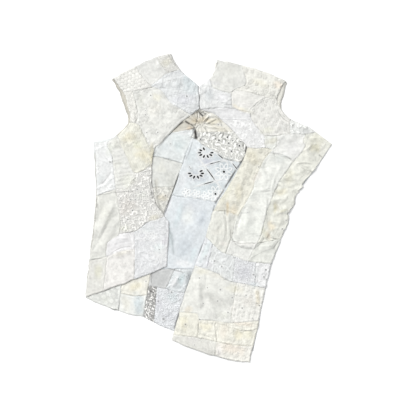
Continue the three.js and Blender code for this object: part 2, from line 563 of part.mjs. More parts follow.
// The cloth of one patch: a grid of points on its upper side, the same on its underside, and the edge
function patchGeometry(patch) {
  const { place, layer } = PANELS[patch.panel];
  const measure = patchMeasure(patch);
  const planAt = (u, v) => {
    const [s, t] = measure(u, v);
    const [x, y] = place(s, t);
    return { x, y, s, t };
  };
  const step = layer === 'front' ? FRONT_STEP : BACK_STEP;
  const [topLeft, topRight, footRight, footLeft] = [[0, 0], [1, 0], [1, 1], [0, 1]]
    .map(([u, v]) => planAt(u, v));
  const stepsFor = (...sides) => {
    const longest = Math.max(...sides.map(([from, to]) => Math.hypot(to.x - from.x, to.y - from.y)));
    return Math.max(2, Math.round(longest / step));
  };
  const columns = stepsFor([topLeft, topRight], [footLeft, footRight]);
  const rows = stepsFor([topLeft, footLeft], [topRight, footRight]);
  const grid = [];
  for (let j = 0; j <= rows; j += 1) {
    for (let i = 0; i <= columns; i += 1) grid.push(planAt(i / columns, j / rows));
  }
  const index = (i, j) => j * (columns + 1) + i;
  const rim = gridRim(columns, rows);
  const trueSide = (k, w) => {
    const [i, j, alongI, alongJ] = rim[k];
    const { x, y } = planAt((i + w * alongI) / columns, (j + w * alongJ) / rows);
    return [x, y];
  };
  const outline = rim.map(([i, j]) => grid[index(i, j)]);
  insetOutline(outline, trueSide).forEach((point, k) => {
    const [i, j] = rim[k];
    grid[index(i, j)] = point;
  });
  const heights = grid.map(({ x, y, s, t }) => clothHeights(patch, x, y, s, t));
  const positions = [
    ...grid.flatMap(({ x, y }, k) => [x, y, heights[k].upper]),
    ...grid.flatMap(({ x, y }, k) => [x, y, heights[k].under]),
  ];
  const under = grid.length;
  const faces = [];
  const quad = (a, b, c, d) => faces.push(a, b, c, a, c, d);
  for (let j = 0; j < rows; j += 1) {
    for (let i = 0; i < columns; i += 1) {
      const [a, b, c, d] = [index(i, j), index(i, j + 1), index(i + 1, j + 1), index(i + 1, j)];
      quad(a, b, c, d);
      quad(under + a, under + d, under + c, under + b);
    }
  }
  rim.forEach(([i, j], k) => {
    const [nextI, nextJ] = rim[(k + 1) % rim.length];
    const here = index(i, j);
    const next = index(nextI, nextJ);
    quad(here, next, under + next, under + here);
  });
  const geometry = new THREE.BufferGeometry();
  geometry.setAttribute('position', new THREE.Float32BufferAttribute(positions, 3));
  geometry.setIndex(faces);
  return geometry;
}

const wasm = await Module();
wasm.setup();

function toSolid(geometry) {
  const bare = geometry.clone();
  bare.deleteAttribute('normal');
  bare.deleteAttribute('uv');
  const merged = mergeVertices(bare);
  return new wasm.Manifold(new wasm.Mesh({
    numProp: 3,
    vertProperties: new Float32Array(merged.attributes.position.array),
    triVerts: new Uint32Array(merged.index.array),
  }));
}

function fromSolid(solid) {
  const { numProp, vertProperties, triVerts } = solid.getMesh();
  const geometry = new THREE.BufferGeometry();
  const positions = [];
  for (let k = 0; k < vertProperties.length; k += numProp) {
    positions.push(...vertProperties.subarray(k, k + 3));
  }
  geometry.setAttribute('position', new THREE.Float32BufferAttribute(positions, 3));
  geometry.setIndex([...triVerts]);
  return geometry;
}

// An upright plug with an oval plan, to cut one hole with
function plug(x, y, length, width, turn) {
  const oval = new THREE.Shape();
  oval.absellipse(x, y, length / 2, width / 2, 0, 2 * Math.PI, false, turn);
  const geometry = new THREE.ExtrudeGeometry(oval, {
    depth: HOLE_REACH, bevelEnabled: false, curveSegments: HOLE_SIDES,
  });
  return geometry.translate(0, 0, -HOLE_REACH / 2);
}

function daisyPlugs(daisy) {
  const plugs = [];
  for (let k = daisy.first; k <= daisy.last; k += 1) {
    const turn = (2 * Math.PI * k) / daisy.petals;
    const outX = daisy.across * Math.cos(turn);
    const outY = daisy.down * Math.sin(turn);
    plugs.push(plug(daisy.x + outX, daisy.y + outY, PETAL.length, PETAL.width, Math.atan2(outY, outX)));
  }
  return plugs;
}

function slitPlug(slit) {
  const runX = slit.toX - slit.fromX;
  const runY = slit.toY - slit.fromY;
  const midX = slit.fromX + runX / 2;
  const midY = slit.fromY + runY / 2;
  return plug(midX, midY, Math.hypot(runX, runY), slit.width, Math.atan2(runY, runX));
}

const roundPlug = ({ x, y, width }) => plug(x, y, width, width, 0);

const CUTWORK = {
  BackRight_Eyelet: [
    ...DAISIES.flatMap(daisyPlugs), ...SLITS.map(slitPlug), ...EYELETS.map(roundPlug),
  ],
  BackRight_Crochet: CROCHET_GAPS.map(roundPlug),
  FrontLeft_CrochetLace: LACE_HOLES.map(roundPlug),
};

function patchMesh(patch) {
  const plugs = CUTWORK[patch.name] ?? [];
  const whole = patchGeometry(patch);
  const geometry = plugs.length
    ? fromSolid(plugs.reduce((cloth, cutter) => cloth.subtract(toSolid(cutter)), toSolid(whole)))
    : whole;
  geometry.computeVertexNormals();
  const material = new THREE.MeshStandardMaterial({
    color: patch.colour, roughness: patch.roughness, metalness: 0,
  });
  const mesh = new THREE.Mesh(geometry, material);
  mesh.name = patch.name;
  return mesh;
}

// The eye of the neck closure: a wire ring that lies on the back below the foot of the closure
function closureEye() {
  const geometry = new THREE.TorusGeometry(EYE.ring, EYE.wire, 8, 14);
  const material = new THREE.MeshStandardMaterial({ color: '#d8d8d4', roughness: 0.4, metalness: 0.8 });
  const eye = new THREE.Mesh(geometry, material);
  const backTop = CLOTH + foldHeight(BACK_FOLDS, EYE.x, EYE.y);
  eye.position.set(EYE.x, EYE.y, backTop + EYE.above + EYE.wire);
  eye.name = 'NeckClosure_Eye';
  return eye;
}

const patchworkTop = new THREE.Group();
patchworkTop.add(...PATCHES.map(patchMesh), closureEye());

export default patchworkTop;
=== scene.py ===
"""A sleeveless patchwork top, laid flat with its two fronts uppermost.

The fronts meet at a short closure below the neck and fall apart under it in an arch, so that the two
halves of the back show between them. Every patch is a thin shell of cloth on the form of its own solid.
The tables are in millimetres, +X to the right and +Y to the shoulders, and MM turns them into metres.
"""
import math

import bpy
import numpy as np
from bpy.props import CollectionProperty, FloatProperty, FloatVectorProperty, PointerProperty
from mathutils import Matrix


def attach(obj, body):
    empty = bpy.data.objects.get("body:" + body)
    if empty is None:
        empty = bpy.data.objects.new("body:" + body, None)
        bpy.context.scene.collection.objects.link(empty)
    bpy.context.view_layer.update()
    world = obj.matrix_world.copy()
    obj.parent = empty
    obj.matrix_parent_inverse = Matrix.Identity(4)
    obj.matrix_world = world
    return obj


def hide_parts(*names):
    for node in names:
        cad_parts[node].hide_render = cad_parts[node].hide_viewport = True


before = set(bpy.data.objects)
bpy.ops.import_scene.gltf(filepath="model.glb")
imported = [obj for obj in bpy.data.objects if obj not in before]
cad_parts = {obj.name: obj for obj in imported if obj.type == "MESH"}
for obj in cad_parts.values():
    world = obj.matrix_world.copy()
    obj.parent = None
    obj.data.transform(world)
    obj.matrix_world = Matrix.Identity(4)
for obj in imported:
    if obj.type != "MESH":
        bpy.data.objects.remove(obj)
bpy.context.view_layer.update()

bl_info = {
    "name": "Patchwork Top",
    "version": (1, 0, 0),
    "blender": (4, 5, 0),
    "location": "View3D > Sidebar > Patchwork",
    "description": "Builds a sleeveless patchwork top, laid flat, patch by patch",
    "category": "Add Mesh",
}

MM = 0.001

# The stage, in metres, and the camera's sensor in millimetres. Its picture is PICTURE_WIDTH wide where the
# top lies.
PICTURE_WIDTH = 0.8736
SENSOR = 36
FLOOR = {"half": 3, "points": 7, "below": 0.0002}
ROOM = {"colour": (0.97, 0.985, 1.0, 1), "strength": 0.42}

# Walls and layers, as the solids have them
CLOTH = 1.3
LAYER_GAP = 0.6
FRONT_PUFF = 1.6
PUFF_REACH_ACROSS = 0.35
EDGE_GAP = 0.4
EDGE_DROOP = 13
PUFF_REACH_DOWN = 1.2
FRILL = {"start": 6.9, "end": 10.1, "waves": 4, "out": 2.2, "sharpness": 8,
         "ragged": 2.0, "ragged_size": 4.2, "per_t": 50}
GATHERS = {"waves": 10, "height": 2.6, "start": 5.35, "end": 10.05, "slant": 0.5}
# In the cloth the gathers are uneven: their share of the height and their place wander with random hills
UNEVEN = {"share": 0.32, "vary": 0.3, "size": 34, "shift": 0.035, "shift_size": 26}


def table(columns, lines):
    """Rows as dictionaries under the named columns."""
    return [dict(zip(columns.split(), line)) for line in lines]


# A broad window from the upper left, and a faint lamp above
LAMPS = table("name place_at size power colour", [
    ("Window", (-7.0, 7.0, 10.0), 9.0, 2000, (1.0, 0.995, 0.985)),
    ("Ceiling", (0.2, 0.1, 3.4), 2.6, 30, (1.0, 1.0, 1.0)),
])

# Sections of the four panels: a row is one level, from the shoulder down to the hem, with the two ends
# of that level and a 1 where the edge turns a corner there
SECTION = "left_x left_y left_turn right_x right_y right_turn"
SECTIONS = {
    "FrontLeft": table(SECTION, [
        (-199, 271, 1, -79, 324, 1), (-187, 255, 0, -59, 291, 0), (-176, 239, 0, -20, 256, 1),
        (-166, 202, 0, -18, 208, 1), (-166, 178, 0, -63, 174, 0), (-197, 147, 0, -99, 136, 0),
        (-237, 136, 1, -113, 120, 0), (-235, 80, 0, -118, 67, 0), (-234, 23, 0, -108, 10, 0),
        (-238, -36, 0, -82, -29, 1), (-247, -107, 0, -83, -76, 0), (-257, -187, 1, -86, -123, 1),
    ]),
    "FrontRight": table(SECTION, [
        (20, 310, 1, 163, 266, 1), (8, 275, 0, 150, 244, 0), (-17.4, 255, 1, 145, 223, 0),
        (-17.4, 207, 1, 155, 205, 0), (15, 195, 0, 174, 186, 0), (50, 164, 0, 212, 169, 0),
        (84, 127, 1, 259.6, 134, 1), (67, 88, 0, 227, 86, 0), (39, 40, 0, 191, 36, 0),
        (10, -8, 0, 172, -8, 0), (-4, -59, 0, 154, -67, 0), (-31, -128, 0, 132, -120, 0),
        (-52, -189, 0, 117, -185, 0), (-66, -244, 0, 103, -254, 0), (-76, -277, 1, 87, -324, 1),
    ]),
    "BackLeft": table(SECTION, [
        (-201, 269, 1, -77, 321, 1), (-184, 238, 0, -57, 269, 0), (-172, 202, 0, -18, 227, 1),
        (-169, 178, 0, -22, 189, 0), (-199, 149, 0, -31, 160, 0), (-239, 138, 1, -38, 137, 0),
        (-237, 80, 0, -59, 76, 0), (-236, 23, 0, -75, 31, 0), (-241, -36, 0, -94, -19, 0),
        (-250, -113, 0, -115, -105, 0), (-254, -151, 0, -123, -157, 0), (-258, -188, 1, -136, -229, 1),
    ]),
    "BackRight": table(SECTION, [
        (17, 304, 1, 165, 263, 1), (4, 260, 0, 159, 237, 0), (-18, 227, 1, 154, 212, 0),
        (-22, 189, 0, 172, 185, 0), (-31, 160, 0, 210, 170, 0), (-38, 137, 0, 256, 132, 1),
        (-59, 76, 0, 223, 80, 0), (-75, 31, 0, 187, 31, 0), (-94, -19, 0, 166, -19, 0),
        (-115, -105, 0, 134, -109, 0), (-123, -157, 0, 120, -172, 0), (-136, -229, 1, 94, -300, 1),
    ]),
}

# How each panel bows up at the shoulder and down at the hem, in millimetres, the s of its sewn side, which
# layer it is, whether its right edge is frilled, and what its patches rest on besides the floor
PANELS = {
    "FrontLeft": {"shoulder_bow": 6.5, "hem_bow": 1.5, "side_at": 0, "layer": "front", "frill": False,
                  "rests_on": ["BackLeft_Yoke", "BackLeft_Pale", "BackLeft_Plain", "BackLeft_BrownLace"]},
    "FrontRight": {"shoulder_bow": 6.5, "hem_bow": 7.5, "side_at": 1, "layer": "front", "frill": True,
                   "rests_on": ["BackRight_Gathered", "BackRight_Crochet", "BackRight_Eyelet",
                                "BackRight_Sky", "BackRight_Embroidered", "BackRight_TailEyelet"]},
    "BackLeft": {"shoulder_bow": 5, "hem_bow": 5, "side_at": 0, "layer": "back", "frill": False,
                 "rests_on": []},
    "BackRight": {"shoulder_bow": 5, "hem_bow": 12, "side_at": 1, "layer": "back", "frill": False,
                  "rests_on": []},
}

# Seams between the patches of each panel, in that panel's own measure: s runs from 0 at its left edge to
# 1 at its right edge, and t counts its sections. A seam across gives knots of s and t, one down of t and s.
SEAMS = {
    "FrontLeft": {
        "blueTop": [(0.42, 1.6), (0.6, 1.3), (0.8, 1.04), (1, 1.02)],
        "blueFoot": [(0, 1.85), (0.2, 1.85), (0.42, 1.74), (0.5, 2.05), (0.6, 2.65), (0.75, 3), (1, 3.4)],
        "floralFoot": [(0, 3.95), (0.13, 4), (0.4, 4.45), (0.7, 5), (1, 6)],
        "ochreFoot": [(0, 4.8), (0.2, 5.2), (0.45, 6), (0.55, 6.4), (0.7, 6.95), (0.93, 6.7), (1, 6.5)],
        "whiteTop": [(0, 5.3), (1, 5.3)],
        "rippleFoot": [(0.34, 7.62), (0.5, 7.62), (0.7, 6.99), (0.74, 6.8), (0.9, 6.1)],
        "whiteFoot": [(0, 7.95), (0.34, 7.62)],
        "laceFoot": [(0.35, 9.33), (0.55, 9.3), (0.7, 9), (1, 8.7)],
        "hemTop": [(0, 10.05), (0.22, 10.02), (0.4, 9.93), (0.6, 9.97)],
        "bubbleSide": [(0, 0.4), (1.65, 0.42)],
        "neckLaceSide": [(0, 0.76), (1.04, 0.8)],
        "stripSide": [(1.85, 0.12), (4, 0.12)],
        "rippleStart": [(5.2, 0), (6, 0.2), (6.5, 0.3), (7.62, 0.34)],
        "rippleEnd": [(6.9, 0.7), (7.05, 0.7)],
        "oliveSide": [(7.62, 0.34), (8.5, 0.36), (9.33, 0.35), (9.62, 0.2), (10.05, 0.2)],
        "lavenderSide": [(9.3, 0.54), (9.95, 0.57), (11, 0.6)],
        "roundSide": [(10, 0.22), (11, 0.22)],
    },
    "FrontRight": {
        "satinTop": [(0, 1.2), (0.2, 1.95), (0.43, 2.08)],
        "pleatTop": [(0.4, 1.72), (0.6, 1.64), (0.8, 1.7), (1, 1.85)],
        "mistTop": [(0, 3), (0.2, 2.95), (0.4, 2.9), (0.56, 3.45)],
        "petalTop": [(0, 4.06), (1, 4.06)],
        "mistFoot": [(0, 4.4), (0.42, 4.35)],
        "bustFoot": [(0.32, 5.42), (0.47, 5.45), (0.57, 5.38), (0.85, 5.4), (1, 5.32)],
        "longTop": [(0, 6), (0.12, 6.08), (0.2, 6.05), (0.32, 6.2)],
        "crease": [(0.3, 6.35), (0.5, 6.5), (0.7, 6.85)],
        "longFoot": [(0, 8.95), (0.2, 9), (0.36, 9.2)],
        "curveFoot": [(0.3, 10.08), (0.36, 10.12), (0.5, 10.2), (0.7, 10.15), (1, 9.95)],
        "creamFoot": [(0, 10.02), (0.1, 10.2), (0.3, 10.5), (0.5, 10.65), (0.65, 10.8), (1, 10.95)],
        "bandFoot": [(0, 10.88), (0.2, 11.05), (0.34, 11.2), (0.5, 11.45), (0.75, 11.6), (1, 11.75)],
        "dottedFoot": [(0, 12.5), (0.22, 12.55), (0.27, 12.78), (0.45, 12.8), (0.65, 12.85), (1, 12.75)],
        "trimFoot": [(0.46, 12.85), (0.6, 12.93), (0.7, 13.03), (0.85, 13.08), (1, 13)],
        "hemTop": [(0, 13.6), (0.3, 13.5), (0.54, 13.53), (0.73, 13.57), (1, 13.5)],
        "pleatSide": [(0, 0.36), (1, 0.5), (1.7, 0.42), (2.95, 0.4)],
        "slant": [(1.7, 0.88), (2.5, 0.72), (3, 0.62), (3.45, 0.56), (4.1, 0.45), (4.8, 0.36),
                  (5.42, 0.32), (5.8, 0.24), (6.07, 0.2)],
        "petalSide": [(4, 1), (4.8, 0.8), (5.38, 0.66)],
        "curveStart": [(5.44, 0.47), (6.3, 0.3), (6.8, 0.27), (7.5, 0.3), (8, 0.36), (8.6, 0.37),
                       (9, 0.36), (9.5, 0.33), (10.1, 0.34), (10.6, 0.34)],
        "curveEnd": [(5.4, 0.85), (5.95, 0.69), (6.4, 0.69), (6.85, 0.65), (7.65, 0.655), (8.2, 0.68),
                     (8.85, 0.7), (9.8, 0.71), (10.15, 0.7), (10.85, 0.68)],
        "dotSide": [(10.2, 0.12), (11.1, 0.19)],
        "eyeletSide": [(10.7, 0.5), (11.5, 0.57)],
        "swirlSide": [(10.85, 0.79), (11.7, 0.87)],
        "pinkSide": [(11.5, 0.62), (12.85, 0.66)],
        "yellowSide": [(12.7, 0.26), (13.5, 0.3)],
        "yellowEnd": [(12.8, 0.46), (13.55, 0.54)],
        "hemSide": [(13.5, 0.54), (14, 0.56)],
    },
    "BackLeft": {
        "yokeFoot": [(0, 3.9), (0.7, 3.95), (1, 3.75)],
        "paleFoot": [(0, 5.4), (0.66, 5.5), (1, 5.72)],
        "plainFoot": [(0, 6.7), (1, 6.7)],
        "tailTop": [(0, 9.9), (0.5, 9.7), (1, 9.3)],
        "amberFoot": [(0.5, 10.42), (0.8, 10.45), (1, 10.38)],
        "tailSide": [(9.3, 0.56), (11, 0.57)],
    },
    "BackRight": {
        "gatherFoot": [(0, 4.05), (0.4, 4.12), (1, 4.2)],
        "crochetFoot": [(0, 4.6), (0.1, 5.1), (0.22, 5.35), (0.3, 5.58), (0.45, 5.68), (1, 5.7)],
        "eyeletFoot": [(0, 7.1), (0.2, 7.25), (0.4, 7.4), (1, 7.4)],
        "skyFoot": [(0, 9.42), (0.3, 9.38), (1, 9.4)],
        "meshFoot": [(0, 10.1), (0.15, 10.15), (0.3, 10.2), (1, 10.2)],
        "meshSide": [(9.4, 0.2), (9.9, 0.17), (10.15, 0.15)],
        "netSide": [(10.1, 0.07), (11, 0.1)],
    },
}

# Patches, named for their panel and their cloth. First the seams that bound each one, where nothing
# stands for the panel's own edge and of two seams the one nearer the patch counts, and how far its cloth
# stands out over the thinnest one. Then its fabric, how far the grain is turned in degrees, the figure
# worked into it with the figure's repeat and its relief, how much the cloth is crumpled, and its dye.
PATCH = "name above below left right proud fabric grain figure repeat relief crumple dye"
PATCHES = table(PATCH, [
    ("FrontLeft_BubbleLace", "", "blueFoot", "", "bubbleSide", 0.4,
     "lace_bubble", 24, "bobbles", 8.5, 0.5, 0.5, "#ecebe6"),
    ("FrontLeft_ShoulderPlain", "", "blueTop", "bubbleSide", "neckLaceSide", 0,
     "cotton_grey_beige", 24, "plain", 10, 0, 0.8, "#eeeeea"),
    ("FrontLeft_NeckLace", "", "blueTop", "neckLaceSide", "", 0.3,
     "lace_olive", 24, "curls", 7, 0.6, 0.3, "#ecebe6"),
    ("FrontLeft_NeckBlue", "blueTop", "blueFoot", "bubbleSide", "", 0.2,
     "satin_silver", -6, "scrolls", 13, 0.4, 1.0, "#eaecec"),
    ("FrontLeft_ArmholeStrip", "blueFoot", "floralFoot", "", "stripSide", 0.2,
     "lace_olive", -12, "curls", 8, 0.5, 0.3, "#f5f4ee"),
    ("FrontLeft_BigFloral", "blueFoot", "floralFoot", "stripSide", "", 0,
     "damask_beige", 30, "blooms", 30, 0.3, 0.5, "#ebebe6"),
    ("FrontLeft_OchreFloral", "floralFoot", "ochreFoot", "", "", 0.3,
     "damask_ochre", -40, "blooms", 24, 0.3, 0.5, "#ebeadf"),
    ("FrontLeft_RippledStrip", "ochreFoot", "rippleFoot", "rippleStart", "rippleEnd", 0,
     "cotton_olive", 8, "ripples", 9, 0.22, 0.6, "#f2f2ed"),
    ("FrontLeft_WhiteEmbroidered", "whiteTop", "whiteFoot", "", "rippleStart", 0.3,
     "embroidered_white", 0, "sprays", 27, 0.45, 0.5, "#f9faf9"),
    ("FrontLeft_CrochetLace", "ochreFoot rippleFoot", "laceFoot", "oliveSide", "", 0.4,
     "lace_brown", 10, "scrolls", 6.6, 0.8, 0.5, "#f3f2ee"),
    ("FrontLeft_OlivePlain", "whiteFoot", "hemTop", "", "oliveSide", 0,
     "cotton_olive", 12, "plain", 10, 0, 0.5, "#ecece6"),
    ("FrontLeft_GreyPlain", "laceFoot", "hemTop", "oliveSide", "lavenderSide", 0.2,
     "cotton_grey_beige", 4, "plain", 10, 0, 0.5, "#f7f6f6"),
    ("FrontLeft_LavenderFloral", "laceFoot", "", "lavenderSide", "", 0.3,
     "embroidered_lavender", 0, "scrolls", 9, 0.3, 0.5, "#ecedee"),
    ("FrontLeft_RoundTop", "hemTop", "", "roundSide", "lavenderSide", 0.4,
     "damask_beige", 20, "blooms", 20, 0.08, 0.2, "#f0eeea"),
    ("FrontLeft_HemOlive", "hemTop", "", "", "roundSide", 0,
     "cotton_olive", 10, "plain", 10, 0, 0.4, "#eeede7"),
    ("FrontRight_ShoulderPlain", "", "satinTop", "", "pleatSide", 0,
     "cotton_grey_beige", -16, "plain", 10, 0, 1.0, "#ecece7"),
    ("FrontRight_ShoulderFloral", "", "pleatTop", "pleatSide", "", 0.3,
     "damask_ochre", -16, "blooms", 17, 0.45, 0.4, "#eeede6"),
    ("FrontRight_NeckSatin", "satinTop", "mistTop", "", "pleatSide", 0.2,
     "satin_silver", 10, "scrolls", 12, 0.4, 1.3, "#ecedec"),
    ("FrontRight_Pleated", "pleatTop", "mistTop", "pleatSide", "slant", 0.3,
     "damask_beige", 70, "plain", 10, 0, 0.7, "#eae9e4"),
    ("FrontRight_DottedBeige", "pleatTop", "bustFoot", "slant", "petalSide", 0,
     "damask_beige", -30, "blooms", 12, 0.35, 0.5, "#eae9e4"),
    ("FrontRight_Mist", "mistTop", "mistFoot", "", "slant", 0,
     "cotton_blue", -35, "plain", 10, 0, 1.3, "#eeeeee"),
    ("FrontRight_Lilac", "mistFoot", "longTop", "", "slant", 0.2,
     "embroidered_white", -40, "scrolls", 9, 0.35, 0.5, "#f7f7f6"),
    ("FrontRight_SmallBeige", "bustFoot", "longTop", "slant", "curveStart", 0,
     "cotton_grey_beige", -50, "scrolls", 10, 0.3, 0.5, "#f5f6f0"),
    ("FrontRight_PetalLace", "petalTop", "bustFoot", "petalSide", "", 0.4,
     "lace_petal", -10, "blooms", 15, 0.8, 0.3, "#f8f9f6"),
    ("FrontRight_LongOchre", "longTop", "longFoot", "", "curveStart", 0,
     "damask_ochre", 62, "blooms", 15, 0.3, 0.6, "#e6e4d8"),
    ("FrontRight_CurveTop", "bustFoot", "crease", "curveStart", "curveEnd", 0.4,
     "satin_pearl", 64, "plain", 10, 0, 1.9, "#edede9"),
    ("FrontRight_Curve", "crease", "curveFoot", "curveStart", "curveEnd", 0.8,
     "satin_pearl", 70, "plain", 10, 0, 0.8, "#eff0ea"),
    ("FrontRight_GatheredStrip", "bustFoot", "curveFoot", "curveEnd", "", 0,
     "gathered_cream", 60, "scrolls", 17, 0.3, 2.0, "#fffff5"),
    ("FrontRight_CreamPanel", "longFoot", "creamFoot", "", "curveStart", 0.2,
     "cotton_cream", 76, "ripples", 12, 0.3, 1.1, "#f4f4ec"),
    ("FrontRight_CreamCrescent", "curveFoot", "creamFoot", "curveStart", "curveEnd", 0,
     "cotton_cream", 10, "blooms", 12, 0.2, 0.5, "#fbfbf6"),
    ("FrontRight_FoldedBeige", "curveFoot", "creamFoot", "curveEnd", "", 0.2,
     "cotton_cream", 0, "plain", 10, 0, 1.1, "#f3f4ed"),
    ("FrontRight_DottedBlue", "creamFoot", "bandFoot", "", "dotSide", 0.2,
     "cotton_blue", -66, "dots", 14, 0.5, 1.0, "#eef0f2"),
    ("FrontRight_GreyEyelet", "creamFoot", "bandFoot", "dotSide", "eyeletSide", 0.3,
     "embroidered_grey", -10, "scrolls", 13, 0.35, 0.4, "#eef0ef"),
    ("FrontRight_GreySwirl", "creamFoot", "bandFoot", "eyeletSide", "swirlSide", 0.3,
     "embroidered_grey", -20, "curls", 12, 0.5, 0.3, "#eeeff0"),
    ("FrontRight_BandWhite", "creamFoot", "bandFoot", "swirlSide", "", 0,
     "cotton_cream", -20, "scrolls", 12, 0.6, 1.2, "#ffffff"),
    ("FrontRight_DottedCream", "bandFoot", "dottedFoot", "", "pinkSide", 0,
     "dotted_cream", 4, "plain", 10, 0, 0.7, "#f0f0ea"),
    ("FrontRight_PinkBeige", "bandFoot", "dottedFoot", "pinkSide", "", 0.3,
     "damask_beige", -8, "blooms", 11, 0.35, 0.4, "#f1f0ea"),
    ("FrontRight_OchreCorner", "dottedFoot", "hemTop", "", "yellowSide", 0.2,
     "damask_ochre", -6, "blooms", 16, 0.1, 0.15, "#efede1"),
    ("FrontRight_YellowBlock", "dottedFoot", "hemTop", "yellowSide", "yellowEnd", 0.4,
     "damask_ochre", -14, "blooms", 12, 0.25, 0.3, "#f6f4e9"),
    ("FrontRight_TrimBand", "dottedFoot", "trimFoot", "yellowEnd", "", 0.4,
     "damask_ochre", -4, "scrolls", 10, 0.4, 0.3, "#f5f3e8"),
    ("FrontRight_YellowWide", "trimFoot", "hemTop", "yellowEnd", "", 0,
     "damask_ochre", -10, "blooms", 18, 0.3, 0.3, "#f5f3e8"),
    ("FrontRight_HemGrey", "hemTop", "", "", "hemSide", 0,
     "cotton_grey_beige", -10, "plain", 10, 0, 0.4, "#f1f0e9"),
    ("FrontRight_HemPink", "hemTop", "", "hemSide", "", 0.3,
     "damask_beige", -8, "blooms", 16, 0.4, 0.3, "#f6f4ec"),
    ("BackLeft_Yoke", "", "yokeFoot", "", "", 0, "gathered_cream", 10, "plain", 10, 0, 0.5, "#e7e3d7"),
    ("BackLeft_Pale", "yokeFoot", "paleFoot", "", "", 0.2,
     "cotton_blue", -10, "plain", 10, 0, 1.2, "#ecf0ef"),
    ("BackLeft_Plain", "paleFoot", "plainFoot", "", "", 0,
     "cotton_grey_beige", 12, "plain", 10, 0, 0.7, "#ebece7"),
    ("BackLeft_BrownLace", "plainFoot", "tailTop", "", "", 0.3,
     "lace_brown", 14, "scrolls", 7.5, 0.4, 0.3, "#e9e8e1"),
    ("BackLeft_TailGrey", "tailTop", "", "", "tailSide", 0.2,
     "embroidered_white", 20, "blooms", 12, 0.25, 0.3, "#f1f2ed"),
    ("BackLeft_TailAmber", "tailTop", "amberFoot", "tailSide", "", 0.3,
     "damask_ochre", 18, "blooms", 13, 0.2, 0.3, "#f2f0e6"),
    ("BackLeft_TailBlue", "amberFoot", "", "tailSide", "", 0,
     "cotton_blue", 14, "plain", 10, 0, 1.2, "#f4f5f1"),
    ("BackRight_Gathered", "", "gatherFoot", "", "", 0,
     "gathered_cream", -20, "plain", 10, 0, 0.8, "#fffdf4"),
    ("BackRight_Crochet", "gatherFoot", "crochetFoot", "", "", 0.3,
     "crochet_cream", -8, "scrolls", 8, 0.6, 0.3, "#f6f6f1"),
    ("BackRight_Eyelet", "crochetFoot", "eyeletFoot", "", "", 0.2,
     "eyelet_blue", -8, "scrolls", 15, 0.3, 0.4, "#eef3f5"),
    ("BackRight_Sky", "eyeletFoot", "skyFoot", "", "", 0,
     "cotton_blue", 14, "plain", 10, 0, 0.4, "#e7ecef"),
    ("BackRight_Mesh", "skyFoot", "meshFoot", "", "meshSide", 0,
     "sheer_mesh", 14, "plain", 10, 0, 0.4, "#dadbda"),
    ("BackRight_Embroidered", "skyFoot", "meshFoot", "meshSide", "", 0.2,
     "embroidered_white", 40, "sprays", 22, 0.9, 0.8, "#edf1f2"),
    ("BackRight_DarkNet", "meshFoot", "", "", "netSide", 0,
     "dark_net", 14, "scrolls", 5.5, 0.4, 0.3, "#e4e3e0"),
    ("BackRight_TailEyelet", "meshFoot", "", "netSide", "", 0.2,
     "embroidered_grey", 14, "curls", 11, 0.9, 1.0, "#f3f5f7"),
])
for patch_row in PATCHES:
    patch_row["panel"] = patch_row["name"].split("_")[0]

# Largest folds of the two layers, as the solids have them: ridges from one point to another
FOLD = "from_x from_y to_x to_y height width"
FOLDS = {"front": table(FOLD, [
    (-120, 256, -55, 259, 3.0, 9), (-116, 250, -52, 243, 2.2, 8), (-110, 302, -72, 286, 2.4, 8),
    (-86, 214, -40, 226, 1.8, 9), (-196, 14, -242, -66, 4.2, 10), (-190, -18, -230, -96, 3.2, 9),
    (-224, 22, -242, -28, 2.4, 8), (-188, 92, -186, 42, 1.8, 9), (-206, -78, -164, -62, 2.0, 9),
    (-200, -97, -158, -88, 1.8, 8), (-156, 106, -124, 84, 1.6, 10), (54, 240, 116, 220, 2.2, 9),
    (66, 214, 96, 199, 2.0, 8), (22, 252, 46, 214, 2.0, 9), (46, 196, 98, 158, 1.8, 9),
    (148, 92, 154, 56, 3.0, 9), (118, 84, 124, 34, 3.0, 10), (98, 44, 76, -14, 2.6, 9),
    (126, 20, 106, -60, 2.6, 10), (86, -10, 64, -64, 2.8, 9), (82, 108, 50, 6, 1.8, 10),
    (44, -8, 42, -72, 2.6, 8), (106, -86, 140, -82, 2.4, 9), (-18, -148, -17, -208, 3.0, 8),
    (-4, -168, 52, -199, 4.2, 10), (-4, -190, 18, -230, 2.6, 9), (30, -120, 36, -150, 1.6, 9),
    (-60, -284, 60, -312, 1.4, 12), (-240, -176, -110, -132, 1.2, 12),
]), "back": table(FOLD, [
    (-12, 178, 22, 190, 1.4, 7), (-12, 174, 40, 172, 1.2, 8), (-14, 170, 12, 156, 1.2, 7),
    (-20, 186, -34, 172, 1.0, 7), (-34, 34, -62, -46, 1.2, 14), (-18, -10, -46, -78, 1.3, 14),
    (-78, 132, -52, 108, 0.9, 12), (-90, 60, -72, 48, 0.8, 12), (-70, -168, -62, -196, 0.9, 10),
])}

# Cutwork, as the solids have it: a daisy is an oval ring of petal holes, a slit a leaf-shaped hole
PETAL = {"length": 7.0, "width": 3.6}
DAISIES = table("x y across down petals first last", [
    (-4.5, 116, 13, 8.4, 10, 3, 10),
    (-25, 72.5, 13.4, 8.4, 10, 5, 11),
])
SLITS = table("from_x from_y to_x to_y width", [
    (3, 92.2, 27, 98.2, 1.9),
    (21, 112.5, 32, 103, 1.6),
    (-3.5, 83, 14, 59.5, 1.9),
    (-9, 50, 11, 55.4, 1.9),
    (51, 94, 62, 80.5, 1.8),
])
